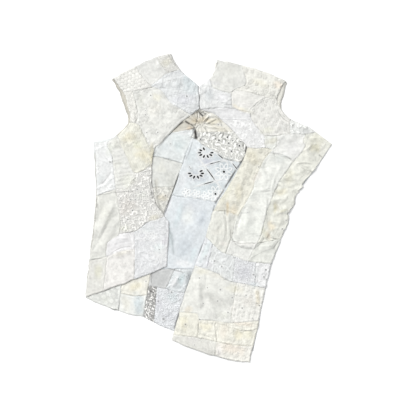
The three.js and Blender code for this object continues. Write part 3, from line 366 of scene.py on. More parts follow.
# Round holes of the cutwork, the crocheted band and the open lace
ROUND_HOLES = {
    "BackRight_Eyelet": table("x y width", [(33.5, 76, 4.8), (15.8, 29.4, 4.2)]),
    "BackRight_Crochet": table("x y width", [
        (-15.5, 144.5, 2.2), (5, 149, 2.0), (23, 142, 3.2), (40.5, 148.5, 3.0), (43.5, 136, 3.0),
        (52, 141, 2.2), (66, 130.5, 3.4), (69, 139, 2.2), (49.3, 119, 2.8),
    ]),
    "FrontLeft_CrochetLace": table("x y width", [
        (-148, 39, 2.2), (-141, 33, 2.0), (-162, 18, 2.2), (-152, 18, 2.2), (-157, 27, 2.0),
        (-158, -5, 2.4), (-168, -24, 2.4), (-142, -27, 2.0), (-119, 0, 2.2),
    ]),
}

# Corded blossoms, on the cutwork and on the left front: loops of cord round a middle, each an oval ring
BLOSSOM = "x y loops middle half_length half_width"
BLOSSOMS = {"front": table(BLOSSOM, [
    (-138, -57, 9, 10.0, 3.2, 2.4), (-101, -95, 11, 13.0, 7.5, 1.6), (-116, -60, 7, 6.4, 3.4, 2.2),
]), "back": table(BLOSSOM, [
    (33.5, 76, 8, 12.2, 5.4, 3.3), (15.8, 29.4, 8, 11.2, 5.0, 3.1), (62, 46, 6, 9, 4.0, 3.0),
    (-45, 32, 5, 5.6, 3.6, 2.7), (-25, 29, 5, 5.6, 3.6, 2.7), (-5, 25, 5, 5.6, 3.6, 2.7),
])}

# Bold loops of the crocheted band: thick slanting cords, each under an arched gap of painted shade, dark
# being its strength
LOOPS = table("x y half_width half_height slant dark", [
    (-23, 151, 3, 4.4, -30, 0.5), (-8, 155, 3, 5.4, -34, 0.6), (3, 153, 2.8, 4.6, -20, 0.5),
    (11.5, 146.5, 3.4, 5.2, -30, 1.0), (27, 151.5, 2.8, 5.6, -38, 0.9), (33.5, 138, 3.2, 5.6, -8, 1.0),
    (46, 147, 3.2, 5.4, -12, 0.8), (57, 130.5, 3.2, 6.2, -8, 1.1), (62, 141, 2.6, 3.6, -20, 0.8),
    (77.5, 127, 2.4, 7.4, 8, 1.3), (19, 133, 5, 2.6, 10, 0.4), (47, 125, 4.2, 2.4, -24, 0.4),
    (34, 123, 5.4, 2.4, -12, 0.3), (62, 117, 3.4, 3, 0, 0.3), (-4, 139, 4.4, 2.4, -20, 0.5),
    (24, 160, 3, 3, 0, 0.5), (2, 161, 4.6, 2.4, -14, 0.7),
])

# Gathers that spread from a point as the folds of a fan do
FANS = table("panel x y folds near far height", [
    ("BackRight", -15, 177, 11, 3, 52, 1.3),
    ("BackLeft", -15, 177, 13, 3, 48, 1.5),
])

# Creases in the cloth, ridges where the height is above nothing and troughs where it is below
CREASE = "from_x from_y to_x to_y bow height width"
CREASES = {"front": table(CREASE, [
    (-122, 255, -92, 263, 1, 1.2, 3), (-104, 264, -60, 271, 2, 1.0, 3.5),
    (-118, 250, -56, 249, -2, -1.0, 3), (-84, 238, -58, 228, 3, 0.9, 3), (-92, 231, -66, 217, 2, -0.7, 3),
    (-50, 216, -28, 210, 0, 0.7, 3), (-62, 244, -26, 238, 2, 0.8, 4), (-110, 306, -78, 291, 1, 1.0, 3),
    (-163, 203, -161, 178, 0, -0.9, 1.6), (-157, 203, -155, 177, 0, 0.8, 1.6),
    (-152, 202, -150, 176, 0, -0.9, 1.6), (-147, 198, -144, 176, 0, 0.8, 1.6),
    (-138, 238, -142, 208, 3, -0.6, 5), (-118, 234, -104, 205, -3, 0.7, 6),
    (-128, 192, -92, 188, 2, 0.8, 4), (-132, 176, -84, 164, 3, -0.6, 5), (-106, 214, -74, 178, 4, 0.6, 5),
    (-192, 146, -204, 122, 2, 0.9, 4), (-212, 136, -196, 104, -3, 1.0, 4),
    (-172, 158, -150, 128, 3, 0.7, 5), (-140, 128, -122, 96, -2, -0.6, 4),
    (-203, 77, -226, 47, 1, -1.6, 2.6), (-199, 70, -222, 42, 1, 1.1, 3), (-226, 102, -202, 84, 4, 0.8, 3),
    (-218, 96, -200, 76, 3, -0.6, 2.5), (-196, 98, -186, 50, -3, 1.0, 2.6), (-178, 92, -164, 46, 4, 0.6, 4),
    (-168, 84, -158, 44, -2, -0.6, 3), (-196, 8, -226, -64, -3, 0.6, 3.4),
    (-204, 20, -241, -88, -4, -0.5, 4), (-188, -8, -216, -76, -2, -0.7, 4),
    (-212, -24, -236, -82, -2, 0.8, 3), (-222, -58, -244, -92, 0, -0.8, 2.6),
    (-184, 12, -192, -42, 2, 0.7, 4), (-214, 12, -220, -34, 0, 0.7, 4), (-229, 14, -233, -36, 0, -0.9, 2.4),
    (-206, -71, -166, -64, 4, 0.9, 3), (-198, -80, -164, -72, 4, -0.8, 3),
    (-184, -60, -160, -56, 2, 0.6, 3), (-148, -50, -156, -86, 1, 0.8, 3.5),
    (-152, -56, -158, -80, 1, -0.6, 2.5), (-138, -88, -118, -96, 2, 0.6, 4),
    (-204, -103, -158, -91, 8, 1.1, 2.2), (-160, -92, -152, -116, 3, 0.9, 2.4),
    (-236, -116, -230, -160, 0, -0.5, 5), (-196, -118, -192, -150, 1, 0.4, 7),
    (-2, 258, -14, 216, 3, -0.8, 3), (12, 254, 40, 216, -3, 0.8, 4), (24, 232, 50, 214, 2, 0.9, 3),
    (-12, 236, -6, 212, 1, 0.7, 3), (52, 246, 64, 226, 2, -0.7, 4), (62, 228, 106, 222, 3, -0.7, 5),
    (62, 218, 98, 210, 3, 0.8, 4), (70, 206, 94, 196, 2, -0.6, 4), (24, 196, 80, 168, 6, 0.9, 3),
    (36, 200, 88, 176, 7, -0.8, 3), (50, 186, 86, 160, 4, 0.7, 4), (86, 168, 112, 140, 3, 0.7, 4),
    (94, 172, 118, 146, 3, -0.6, 3), (150, 212, 172, 186, -4, 0.9, 1.7),
    (146, 207, 168, 180, -4, -0.9, 1.7), (142, 202, 164, 174, -4, 0.9, 1.7),
    (138, 228, 152, 214, 0, -0.9, 3), (151, 246, 151, 220, 1, 0.9, 3), (104, 168, 144, 160, 3, 0.6, 6),
    (120, 150, 148, 138, 3, -0.7, 4), (146, 142, 158, 150, 1, 1.0, 2.5), (148, 132, 160, 118, -3, 0.8, 4),
    (214, 150, 236, 142, 3, 0.9, 4), (222, 132, 240, 124, 4, -1.1, 5), (206, 128, 214, 104, -3, 1.3, 4),
    (137, 112, 166, 100, 2, -1.8, 4), (122, 104, 104, 72, -3, 1.2, 2.6), (118, 86, 124, 44, 3, -1.0, 4),
    (130, 90, 136, 48, 3, 0.9, 4), (152, 88, 132, 24, -4, 1.4, 3.2), (144, 92, 138, 48, 2, -0.8, 4),
    (94, 42, 130, 44, -5, 1.2, 3), (100, 40, 124, 12, 4, 0.6, 6), (126, 22, 120, -18, 3, -0.9, 3),
    (121, 18, 116, -20, 3, 0.9, 2.6), (84, 16, 52, -58, -7, 1.6, 2.6), (84, 8, 60, -62, -7, -1.2, 3),
    (76, -16, 71, -72, -2, -1.1, 4), (84, -22, 82, -70, 0, 0.9, 5), (99, -14, 96, -72, 1, -0.9, 4),
    (90, 0, 112, -6, -3, -0.9, 4), (108, -16, 110, -70, 2, 0.8, 4), (50, -54, 64, -74, -2, 1.5, 3),
    (64, -74, 95, -80, -3, 1.7, 3), (95, -80, 115, -56, -3, 1.5, 3), (75, 66, 72, 8, 2, -0.7, 3),
    (84, 94, 62, 36, 2, 0.7, 4), (94, 86, 84, 52, 1, -0.7, 3), (68, 64, 58, 22, 1, -0.5, 3),
    (100, 108, 92, 84, 0, 0.6, 4), (35, -14, 38, -72, 2, -1.7, 2.6), (30, -16, 33, -66, 2, 1.0, 3),
    (18, -22, 12, -60, 1, 0.8, 4), (24, -36, 14, -54, 1, -0.6, 3), (44, -22, 43, -60, -1, 0.9, 3),
    (72, -80, 130, -90, -3, -1.1, 3), (106, -82, 138, -78, 1, 1.2, 3), (110, -96, 132, -94, 1, -0.9, 3),
    (-16, -150, -8, -214, -2, -1.1, 4.5), (-24, -152, -20, -204, -1, 0.7, 5),
    (-4, -174, 32, -206, -4, -1.9, 7), (2, -160, 52, -186, -5, 1.3, 8), (-6, -200, 26, -224, -3, 1.0, 6),
    (62, -176, 34, -210, 4, -1.3, 6), (-4, -134, -6, -160, 1, -1.0, 3), (4, -140, 2, -166, 1, 0.8, 3),
    (12, -206, 20, -228, 1, -0.8, 3), (-12, -190, -6, -224, 1, 0.7, 4), (36, -206, 38, -232, 1, 0.6, 4),
    (-32, -150, -36, -196, 0, 0.6, 5), (24, -156, 60, -166, 2, 0.6, 4), (98, -168, 104, -204, 2, 0.9, 3),
    (108, -176, 108, -208, 1, -0.9, 2.6), (52, -210, 66, -202, 1, 0.7, 4), (40, -250, 44, -276, 1, 0.6, 3),
    (56, -252, 60, -280, 1, -0.6, 4), (60, -282, 94, -288, 1, 0.6, 3), (2, -272, 4, -300, 0, -0.6, 3),
    (-40, -266, -30, -290, 1, 0.5, 5), (185, 93, 218, 93, 3, 1.5, 3), (185, 90, 217, 78, 2, -1.4, 3),
    (200, 88, 220, 86, 1, 1.2, 2.5), (172, 72, 204, 66, 4, 0.9, 4), (150, 46, 180, 43, 4, 1.4, 4),
    (141, 32, 165, 42, -3, -1.3, 4), (138, 16, 168, 16, 3, 1.4, 3.5), (136, 10, 151, -10, 3, -1.3, 4),
    (141, -16, 161, -8, 3, 1.5, 3), (146, -22, 160, -20, 2, -1.0, 2.5), (128, -30, 158, -34, 3, 1.3, 3),
    (136, -44, 154, -44, 2, 1.3, 2.6), (130, -40, 124, -70, 2, -1.3, 3), (156, 60, 188, 58, -3, -0.9, 5),
    (166, 30, 150, 8, 3, 0.9, 3), (196, 118, 222, 140, -3, 1.0, 3), (214, 148, 244, 128, 4, 1.0, 3),
    (232, 136, 246, 116, 2, -1.0, 2.5), (135, 115, 178, 98, -2, -2.2, 3.5),
    (130, 122, 176, 106, -2, 1.3, 4), (118, 96, 132, 62, -5, -1.4, 5), (134, 84, 112, 48, 5, 0.9, 6),
]), "back": table(CREASE, [
    (3, 193, -12, 173, 1, -1.8, 1.8), (19, 187, -1, 177, 1, -1.6, 1.8), (24, 183, 28, 172, 1, -1.0, 1.8),
    (-7, 171, -5, 163, 0, -1.0, 1.8), (-26, 186, -20, 178, 1, -0.9, 1.6),
    (-28, 174, -19, 172, 1, -0.8, 1.6), (8, 172, 34, 168, -3, 0.9, 3), (4, 164, 40, 158, -4, 0.8, 3),
    (-14, 180, 20, 190, 1, -1.0, 2), (-12, 176, 30, 180, 2, 0.7, 2), (-12, 172, 22, 166, -2, -0.9, 2),
    (-16, 172, -4, 160, -1, -0.9, 2), (-20, 178, -26, 190, 0, -0.8, 2), (-22, 174, -34, 178, 0, 0.7, 2),
    (-16, 166, 14, 158, -2, 0.7, 2), (0, 190, 24, 194, 2, 0.8, 2.5), (-74, 148, -48, 128, 3, -0.5, 5),
    (-66, 132, -60, 104, 2, 0.4, 6), (-42, 30, -66, -40, 4, -0.5, 5), (-54, 14, -70, -30, 2, 0.5, 5),
    (-22, 4, -34, -50, 2, -0.6, 5), (-8, -16, -30, -52, 3, -0.6, 4), (-30, -54, -66, -104, 3, 0.5, 5),
    (-72, -52, -76, -104, 2, -0.6, 4), (-62, -104, -40, -118, -2, 0.5, 5),
    (-60, -138, -78, -168, 1, 1.4, 3.4), (-54, -144, -70, -172, 1, -1.2, 3),
    (-64, -134, -84, -160, 1, 0.7, 3), (-188, -176, -196, -202, 0, -0.4, 4),
    (-150, -186, -146, -220, 0, 0.5, 4),
])}

# Painted shadow: dark lines laid into the colour in the gaps between the layers, under the edges and along
# creases
SHADE = "from_x from_y to_x to_y bow width strength"
SHADES = {"front": table(SHADE, [
    (-200, 271, -184, 244, 0, 4.5, 0.55), (-186, 246, -168, 204, 1, 3, 0.5),
    (-84, 322, -65, 294, 0, 2, 0.35), (20, 306, 15, 294, 0, 2.5, 0.6), (164, 264, 150, 252, 0, 3, 0.5),
    (-20, 256, -18, 208, 0, 1.2, 0.15), (140, 236, 152, 214, 0, 2.5, 0.35),
    (146, 207, 170, 180, -4, 1.5, 0.35), (-232, 27, -200, 33, -1, 1.6, 0.4),
    (-200, 33, -150, 37, -1, 1.6, 0.4), (-234, 24, -233, 0, 0, 2.6, 0.65), (-236, -4, -236, -30, 0, 2, 0.4),
    (-119, 56, -119, 40, 0, 1.8, 0.5), (-119, 38, -116, 18, 0, 2.4, 0.6),
    (-112, 14, -100, -6, 0, 1.8, 0.45), (-203, 77, -226, 47, 1, 1.6, 0.3),
    (-206, -98, -160, -80, 5, 1.5, 0.4), (-247, -108, -220, -105, 0, 1.5, 0.45),
    (35, -2, 35, -14, 0, 2, 0.4), (36, -16, 38, -70, 1, 1.4, 0.25), (48, -44, 47, -64, 0, 1.8, 0.5),
    (47, -56, 61, -78, -2, 2.4, 0.3), (61, -78, 97, -85, -3, 2.4, 0.3), (97, -85, 118, -60, -3, 2.4, 0.28),
    (148, 48, 134, 18, -2, 1.8, 0.35), (0, -180, 30, -205, -4, 8, 0.14), (-15, -156, -8, -210, -2, 5, 0.12),
    (-21, -236, -20, -262, 0, 1.6, 0.4), (-19, -262, 14, -276, 1, 1.4, 0.25),
    (-8, -233, 18, -236, 1, 1.4, 0.25), (66, -252, 102, -257, -3, 1.8, 0.3),
    (104, -240, 103, -256, 0, 1.8, 0.3), (18, -280, 92, -291, 0, 1.6, 0.25),
    (13, -284, 14, -310, 0, 1.4, 0.25), (130, -62, 148, -66, 0, 2, 0.5), (148, -68, 136, -86, 0, 2.2, 0.4),
    (232, 112, 240, 106, 0, 3, 0.4), (118, -151, 124, -136, 1, 3, 0.35), (127, -129, 130, -122, 0, 3, 0.3),
    (184, 92, 217, 92, 2, 1.6, 0.3), (193, 87, 206, 78, 0, 1.6, 0.3), (206, 78, 217, 80, 0, 1.6, 0.3),
    (213, 79, 219, 74, 0, 3, 0.4), (167, -3, 166, -28, 0, 2, 0.3), (88, -106, 114, -92, 0, 1.6, 0.3),
    (114, -92, 139, -83, 0, 1.6, 0.25), (158, 60, 186, 60, -3, 1.8, 0.2),
]), "back": table(SHADE, [
    (-20, 202, -10, 192, 0, 3.6, 1.0), (-16, 200, -8, 202, 0, 3, 0.9), (-6, 199, -4, 197, 0, 4, 0.95),
    (-10, 192, -9, 185, 0, 1.8, 0.45), (3, 194, -10, 175, 1, 2.2, 0.6), (19, 188, 0, 177, 1, 2.2, 0.5),
    (25, 183, 29, 172, 1, 2, 0.4), (-27, 187, -20, 178, 1, 2, 0.5), (-6, 171, -5, 163, 0, 2, 0.4),
    (8, 172, 34, 166, -3, 1.6, 0.25), (14, 193, 30, 178, 1, 3, 0.35), (33, 168, 40, 160, 0, 3, 0.3),
    (-37, 171, -29, 162, 0, 2, 0.6), (-84, 152, -50, 182, 2, 4.2, 0.9), (-49, 183, -38, 176, 0, 4, 0.9),
    (-38, 177, -28, 164, 2, 2.6, 0.7), (-28.6, 167, -24.6, 144, 0.5, 6, 1.1),
    (-106, 126, -82, 152, 0, 3, 0.4), (-118, 100, -108, 122, 0, 4, 0.3), (-8, 204, 30, 192, 3, 3, 0.7),
    (-36, 196, -12, 205, 0, 3, 0.55), (20, 197, 46, 172, 2, 2.6, 0.6), (46, 172, 82, 134, 2, 2.6, 0.6),
    (83, 134, 80, 112, -2, 3.6, 0.9), (80, 112, 60, 82, 0, 3.6, 0.85), (60, 82, 34, 40, 0, 3.8, 0.85),
    (34, 40, 14, 8, 0, 3.6, 0.75), (14, 8, 4, -48, -1, 3, 0.7), (4, -48, -10, -72, 0, 2.6, 0.5),
    (-10, -72, -32, -136, 0, 2.8, 0.65), (-32, -136, -52, -192, -1, 3.4, 0.85),
    (-52, -192, -72, -256, 0, 3, 0.8), (-60, 74, -76, 30, 0, 2.4, 0.9), (-76, 30, -93, -18, 0, 2.4, 0.95),
    (-106, 108, -52, 94, -1, 1.4, 0.3), (-33, 140, -48, 100, 2, 1.4, 0.35),
    (-258, -189, -196, -166, 0, 2, 0.3), (-196, -166, -124, -136, 0, 2, 0.25),
    (-124, -134, -86, -124, 0, 2.2, 0.4), (-86, -126, -48, -136, 0, 2, 0.4),
    (-119, -132, -119, -158, 0, 2, 0.5), (-126, -172, -112, -178, 0, 2, 0.8),
    (-206, -212, -190, -214, 0, 2.4, 0.6), (-82, -40, -72, -100, 2, 4, 0.2), (-112, 60, -104, 8, 0, 4, 0.3),
    (-104, 10, -94, -14, 0, 4, 0.35),
])}

# Places where the dye has taken darker or lighter, or another scrap of cloth lies under the top one, and
# places of painted shade in troughs and painted light on ridges
TINT = "x y reach_x reach_y turn dye strength"
TINTS = {"front": table(TINT, [
    (-38, 262, 22, 24, 30, "#cfdfe3", 0.75), (-52, 228, 26, 12, 10, "#dfdfe8", 0.6),
    (-84, 268, 20, 7, 10, "#fbfbfa", 0.6), (-88, 306, 14, 10, 20, "#d7d3b8", 0.6),
    (-140, 226, 8, 16, 0, "#d6d6cc", 0.7), (-112, 208, 14, 15, 0, "#faf6ea", 0.6),
    (-106, 232, 12, 9, 0, "#f4efd4", 0.6), (-118, 178, 28, 9, 0, "#e0dfd8", 0.6),
    (-192, 136, 9, 13, 20, "#d3d3c6", 0.7), (-206, 122, 9, 14, -20, "#f2f6e8", 0.6),
    (-166, 148, 16, 12, 30, "#e6d9b0", 0.55), (-136, 112, 20, 14, -40, "#eadcae", 0.55),
    (-118, 112, 5, 24, 0, "#c9bb8c", 0.6), (-146, 134, 12, 8, 0, "#eef0cf", 0.5),
    (-190, 92, 12, 8, 0, "#dadad0", 0.6), (-168, 56, 18, 16, 0, "#ebedd9", 0.5),
    (-210, 43, 18, 6, 5, "#fcfdfb", 0.7), (-226, 62, 8, 18, -30, "#dfe6e6", 0.6),
    (-168, 4, 18, 22, 0, "#e6dcd2", 0.5), (-140, 26, 14, 8, 0, "#dde3d8", 0.4),
    (-112, -20, 14, 6, 20, "#dcd3ae", 0.5), (-216, -8, 14, 24, 10, "#dfdfd2", 0.4),
    (-176, -42, 12, 7, 10, "#e2e4cd", 0.6), (-182, -72, 18, 7, 10, "#faf9fa", 0.6),
    (-140, -64, 10, 14, 0, "#dcdadf", 0.5), (-102, -84, 12, 12, 0, "#d9eae8", 0.6),
    (-126, -44, 14, 8, 0, "#e3ebe8", 0.5), (-92, -70, 8, 10, 0, "#e0d8e2", 0.4),
    (-230, -134, 9, 20, -6, "#e2e1c3", 0.75), (-178, -94, 22, 5, 14, "#fbf7e8", 0.7),
    (48, 290, 24, 16, -20, "#e4e4dc", 0.6), (2, 236, 11, 14, 10, "#cfd5d8", 0.75),
    (28, 232, 14, 10, 0, "#f4f2f8", 0.5), (14, 262, 14, 5, -10, "#dedde2", 0.5),
    (148, 258, 14, 8, -20, "#f0dcc4", 0.6), (110, 262, 20, 10, -20, "#f0ebd0", 0.5),
    (76, 216, 16, 9, -10, "#e2dfdc", 0.8), (67, 208, 19, 4, -28, "#fbf0d8", 0.8),
    (80, 204, 18, 6, -24, "#f3f2e2", 0.5), (142, 204, 9, 18, 30, "#dadad4", 0.6),
    (158, 172, 7, 14, 20, "#dddedb", 0.6), (124, 162, 20, 7, 10, "#f0f1dc", 0.7),
    (134, 140, 16, 6, 20, "#d2ccb4", 0.7), (204, 160, 14, 8, -20, "#c9cbca", 0.7),
    (228, 142, 16, 12, -10, "#f5f2da", 0.6), (226, 126, 12, 9, 10, "#d6cfae", 0.6),
    (152, 104, 16, 10, 10, "#d3d8d6", 0.75), (174, 124, 20, 14, 10, "#ecebeb", 0.6),
    (104, 66, 7, 16, -30, "#f4ebe4", 0.6), (94, 108, 22, 14, -60, "#e4dabc", 0.5),
    (41, 2, 4, 15, 0, "#d9bb84", 0.85), (54, -4, 9, 11, 0, "#f6e4c4", 0.6),
    (38, 32, 9, 22, -30, "#dcdcc4", 0.6), (64, 34, 8, 20, 0, "#f5eccd", 0.5),
    (96, 8, 10, 9, 0, "#fcfbf2", 0.7), (104, -8, 12, 6, 0, "#dcdfdb", 0.6),
    (90, -40, 18, 26, 6, "#e5e8e1", 0.6), (80, -75, 20, 5, -6, "#fbfaf5", 1.4),
    (58, -44, 6, 20, -10, "#fbfaf4", 0.6), (142, 2, 6, 12, 10, "#d3c19a", 0.6),
    (154, 34, 14, 8, 10, "#e2d8ae", 0.6), (170, 62, 10, 20, -10, "#f5efcf", 0.5),
    (132, -38, 9, 12, 20, "#f2d9ab", 0.6), (126, -58, 6, 12, 20, "#cda877", 0.6),
    (118, -52, 7, 16, 20, "#f4f1cf", 0.5), (152, -14, 9, 9, 0, "#f8f5ea", 0.7),
    (206, 125, 4, 24, -20, "#fffdf2", 1.0), (241, 128, 4, 15, -25, "#fffdf4", 0.9),
    (225, 127, 10, 14, -22, "#dedabf", 0.6), (140, -2, 4, 12, 0, "#d8d3ae", 0.8),
    (159, -5, 8, 3, 20, "#dcd8b8", 0.8), (144, -54, 8, 6, 0, "#f8f7ee", 0.7),
    (22, -24, 9, 16, 0, "#f1f2e8", 0.5), (20, -50, 14, 9, 0, "#e5dfd3", 0.4),
    (32, -74, 9, 6, 0, "#f2e9e3", 0.6), (64, -84, 22, 5, -8, "#dfe3dc", 0.5),
    (-6, -92, 6, 26, -24, "#d9ecea", 0.6), (4, -118, 10, 8, 0, "#dfd9e2", 0.5),
    (76, -132, 20, 18, 0, "#cfcfd8", 0.6), (44, -134, 10, 22, -10, "#e0e3e2", 0.5),
    (100, -136, 8, 14, 0, "#eef3f1", 0.6), (96, -160, 12, 6, 0, "#dbe7ea", 0.6),
    (-10, -134, 14, 7, 0, "#eee8cc", 0.6), (20, -142, 22, 7, -14, "#f1e9da", 0.5),
    (56, -170, 18, 9, -10, "#efe9cc", 0.6), (-42, -212, 9, 8, 0, "#eeddc0", 0.6),
    (104, -188, 6, 18, 0, "#e2cf9f", 0.65), (84, -196, 16, 12, 0, "#ece5dc", 0.5),
    (52, -212, 10, 8, 0, "#f9f5ef", 0.6), (32, -224, 16, 8, 0, "#eef0e2", 0.5),
    (-50, -240, 10, 16, 0, "#eee6bf", 0.5), (-4, -248, 14, 10, -10, "#f0e6bd", 0.5),
    (32, -258, 12, 16, 0, "#f4e5d4", 0.5), (62, -266, 9, 12, 0, "#e3d8ae", 0.6),
    (84, -264, 14, 10, -10, "#f0ebc6", 0.5), (76, -244, 24, 5, -6, "#f5e3d0", 0.6),
    (50, -296, 30, 12, -12, "#f5dfc8", 0.55), (24, -298, 8, 12, 0, "#ece4ec", 0.4),
    (4, -298, 12, 12, 0, "#dcdad4", 0.6), (-34, -276, 16, 9, -10, "#e3dde0", 0.4),
]), "back": table(TINT, [
    (-52, 158, 20, 6, 4, "#ffffff", 0.8), (-62, 132, 14, 18, 0, "#cfdfe0", 0.75),
    (-88, 128, 12, 8, 0, "#dde5ea", 0.5), (-46, 118, 5, 16, -20, "#e8eef0", 0.6),
    (-78, 58, 14, 22, 0, "#cfd0ca", 1.1), (-98, 84, 12, 14, 0, "#eceadb", 0.5),
    (-96, 22, 12, 8, 0, "#cbb98e", 0.5), (-108, 52, 5, 14, 0, "#b9ae8f", 0.4),
    (-18, 184, 22, 9, 10, "#dcc391", 0.7), (14, 182, 18, 8, 10, "#e2d3a5", 0.6),
    (26, 166, 20, 7, -14, "#f3ead0", 0.6), (-38, 168, 9, 5, 0, "#cfa873", 0.5),
    (-34, 152, 4, 14, -14, "#fbfbf8", 0.5), (-34, 112, 10, 16, -20, "#dfeef1", 0.5),
    (-10, 98, 14, 10, 0, "#dedfe8", 0.6), (-54, 60, 10, 26, -22, "#fbfbfd", 0.75),
    (-84, 0, 6, 26, -18, "#fdfcfd", 0.8), (-10, 42, 24, 16, -10, "#dcecee", 0.6),
    (-42, -17, 13, 20, -10, "#f8faf7", 1.4), (-62, -14, 7, 26, -14, "#cfe0e2", 0.7),
    (-28, 6, 16, 14, 0, "#e2e3e8", 0.5), (-12, -22, 10, 24, -14, "#c6cfd8", 0.7),
    (-48, -78, 20, 26, -14, "#ccd5dc", 0.75), (-78, -64, 6, 34, 10, "#b9c9cb", 0.7),
    (-49, -117, 24, 7, -10, "#ffffff", 1.1), (-30, -96, 6, 24, -20, "#d3e6e8", 0.5),
    (34, 84, 26, 20, 0, "#b9c4ca", 1.2), (-22, 66, 22, 12, 0, "#bfc6d0", 1.1),
    (14, 44, 18, 14, 0, "#c2ced2", 1.0), (2, 96, 14, 8, 0, "#d0d3df", 1.0),
    (20, 108, 12, 8, 0, "#d4dde1", 1.0), (-102, -148, 20, 16, 0, "#c3c5c4", 0.5),
    (-70, -154, 5, 17, -34, "#ffffff", 1.2), (-56, -150, 8, 13, -20, "#d6e8ea", 1.0),
    (-41, -146, 5, 22, -18, "#a9aeb0", 1.3), (-64, -134, 12, 4, 0, "#fbfcfd", 1.0),
    (-60, -166, 12, 5, -10, "#b9c0c2", 0.9), (-74, -186, 12, 12, 0, "#d5e6e6", 0.6),
    (-84, -228, 14, 10, 0, "#cbccd1", 0.6), (-104, -200, 8, 20, 10, "#ece9f2", 0.5),
    (-130, -206, 3, 34, 8, "#f6f5f2", 0.2), (-190, -188, 5, 18, 8, "#d3d4d2", 0.75),
    (-172, -198, 11, 20, 8, "#f3f1e6", 1.2), (-146, -202, 12, 24, 8, "#d5e0e4", 1.3),
    (-152, -164, 18, 9, 14, "#ede2b8", 0.6), (-216, -190, 14, 9, -20, "#eaece0", 0.5),
])}

# Small worked eyelets: a raised ring round a dip whose middle is painted dark, as the shade of a hole
DOT = "x y width"
DOTS = {"front": table(DOT, [
    (-44, 234, 3.4), (-105, 158, 3), (-128, 158, 2.8), (-109, 155, 2.2), (-131, 195, 2.6), (-131, 204, 2.2),
    (-120, 236, 3), (178, 173, 3.4), (139, 182, 2), (134, 176, 1.8), (144, 174, 1.8), (106, 86, 2.6),
    (14, -111, 3.6), (29, -123, 3.2), (54, -103, 2.6), (-4, -101, 2.4), (-18, -147, 2.8), (-1, -167, 3),
    (26, -171, 3.4), (51, -188, 2.8), (20, -195, 3.2), (-10, -200, 2.6), (42, -219, 3), (-17, -234, 2.8),
    (72, -210, 3.4), (80, -183, 3), (93, -231, 2.6), (103, -200, 2.6), (108, -205, 3.4), (-47, -244, 3.2),
    (122, -130, 3.6), (118, -145, 3.8), (132, -118, 2.8), (122, -150, 2.6), (63, -136, 2.4),
    (96, -140, 3.6), (-205, 96, 3.4), (-131, -65, 2.2), (-102, -87, 2.8), (63, -304, 2.4), (-28, -287, 2),
    (83, -9, 1.6), (164, -26, 3), (156, -44, 3.2),
]), "back": table(DOT, [
    (-18, 190, 2.6), (-12, 194, 2.8), (2, 193, 3.2), (22, 175, 2.8), (28, 174, 2.4), (-16, 144, 2.6),
    (4, 141, 2.2), (49, 119, 3.4), (-43, 34, 2.4), (-104, -196, 3.6), (-93, -233, 4.4), (-76, -177, 4),
    (-89, 26, 3.6), (-79, 135, 2.4), (-130, -154, 2.8), (-39, 86, 2.6), (-36, 83, 2.2), (-18, 68, 1.6),
])}

# Repeats are drawn at their real scale, but threads are drawn as 1.2 to 1.9 mm where real ones are 0.3 mm,
# because finer ones would vanish. A weave is two sets of waves, each with its steps across and along the
# grain, and how they are put together.
WEAVES = {
    "plain": ((1, 0), (0, 1), "MULTIPLY"),
    "satin": ((0.12, 1), (0.35, 0.1), "ADD"),
    "net": ((1, 0.5), (-1, 0.5), "MAXIMUM"),
    "cord": ((1, 0.08), (0.1, 1), "ADD"),
}

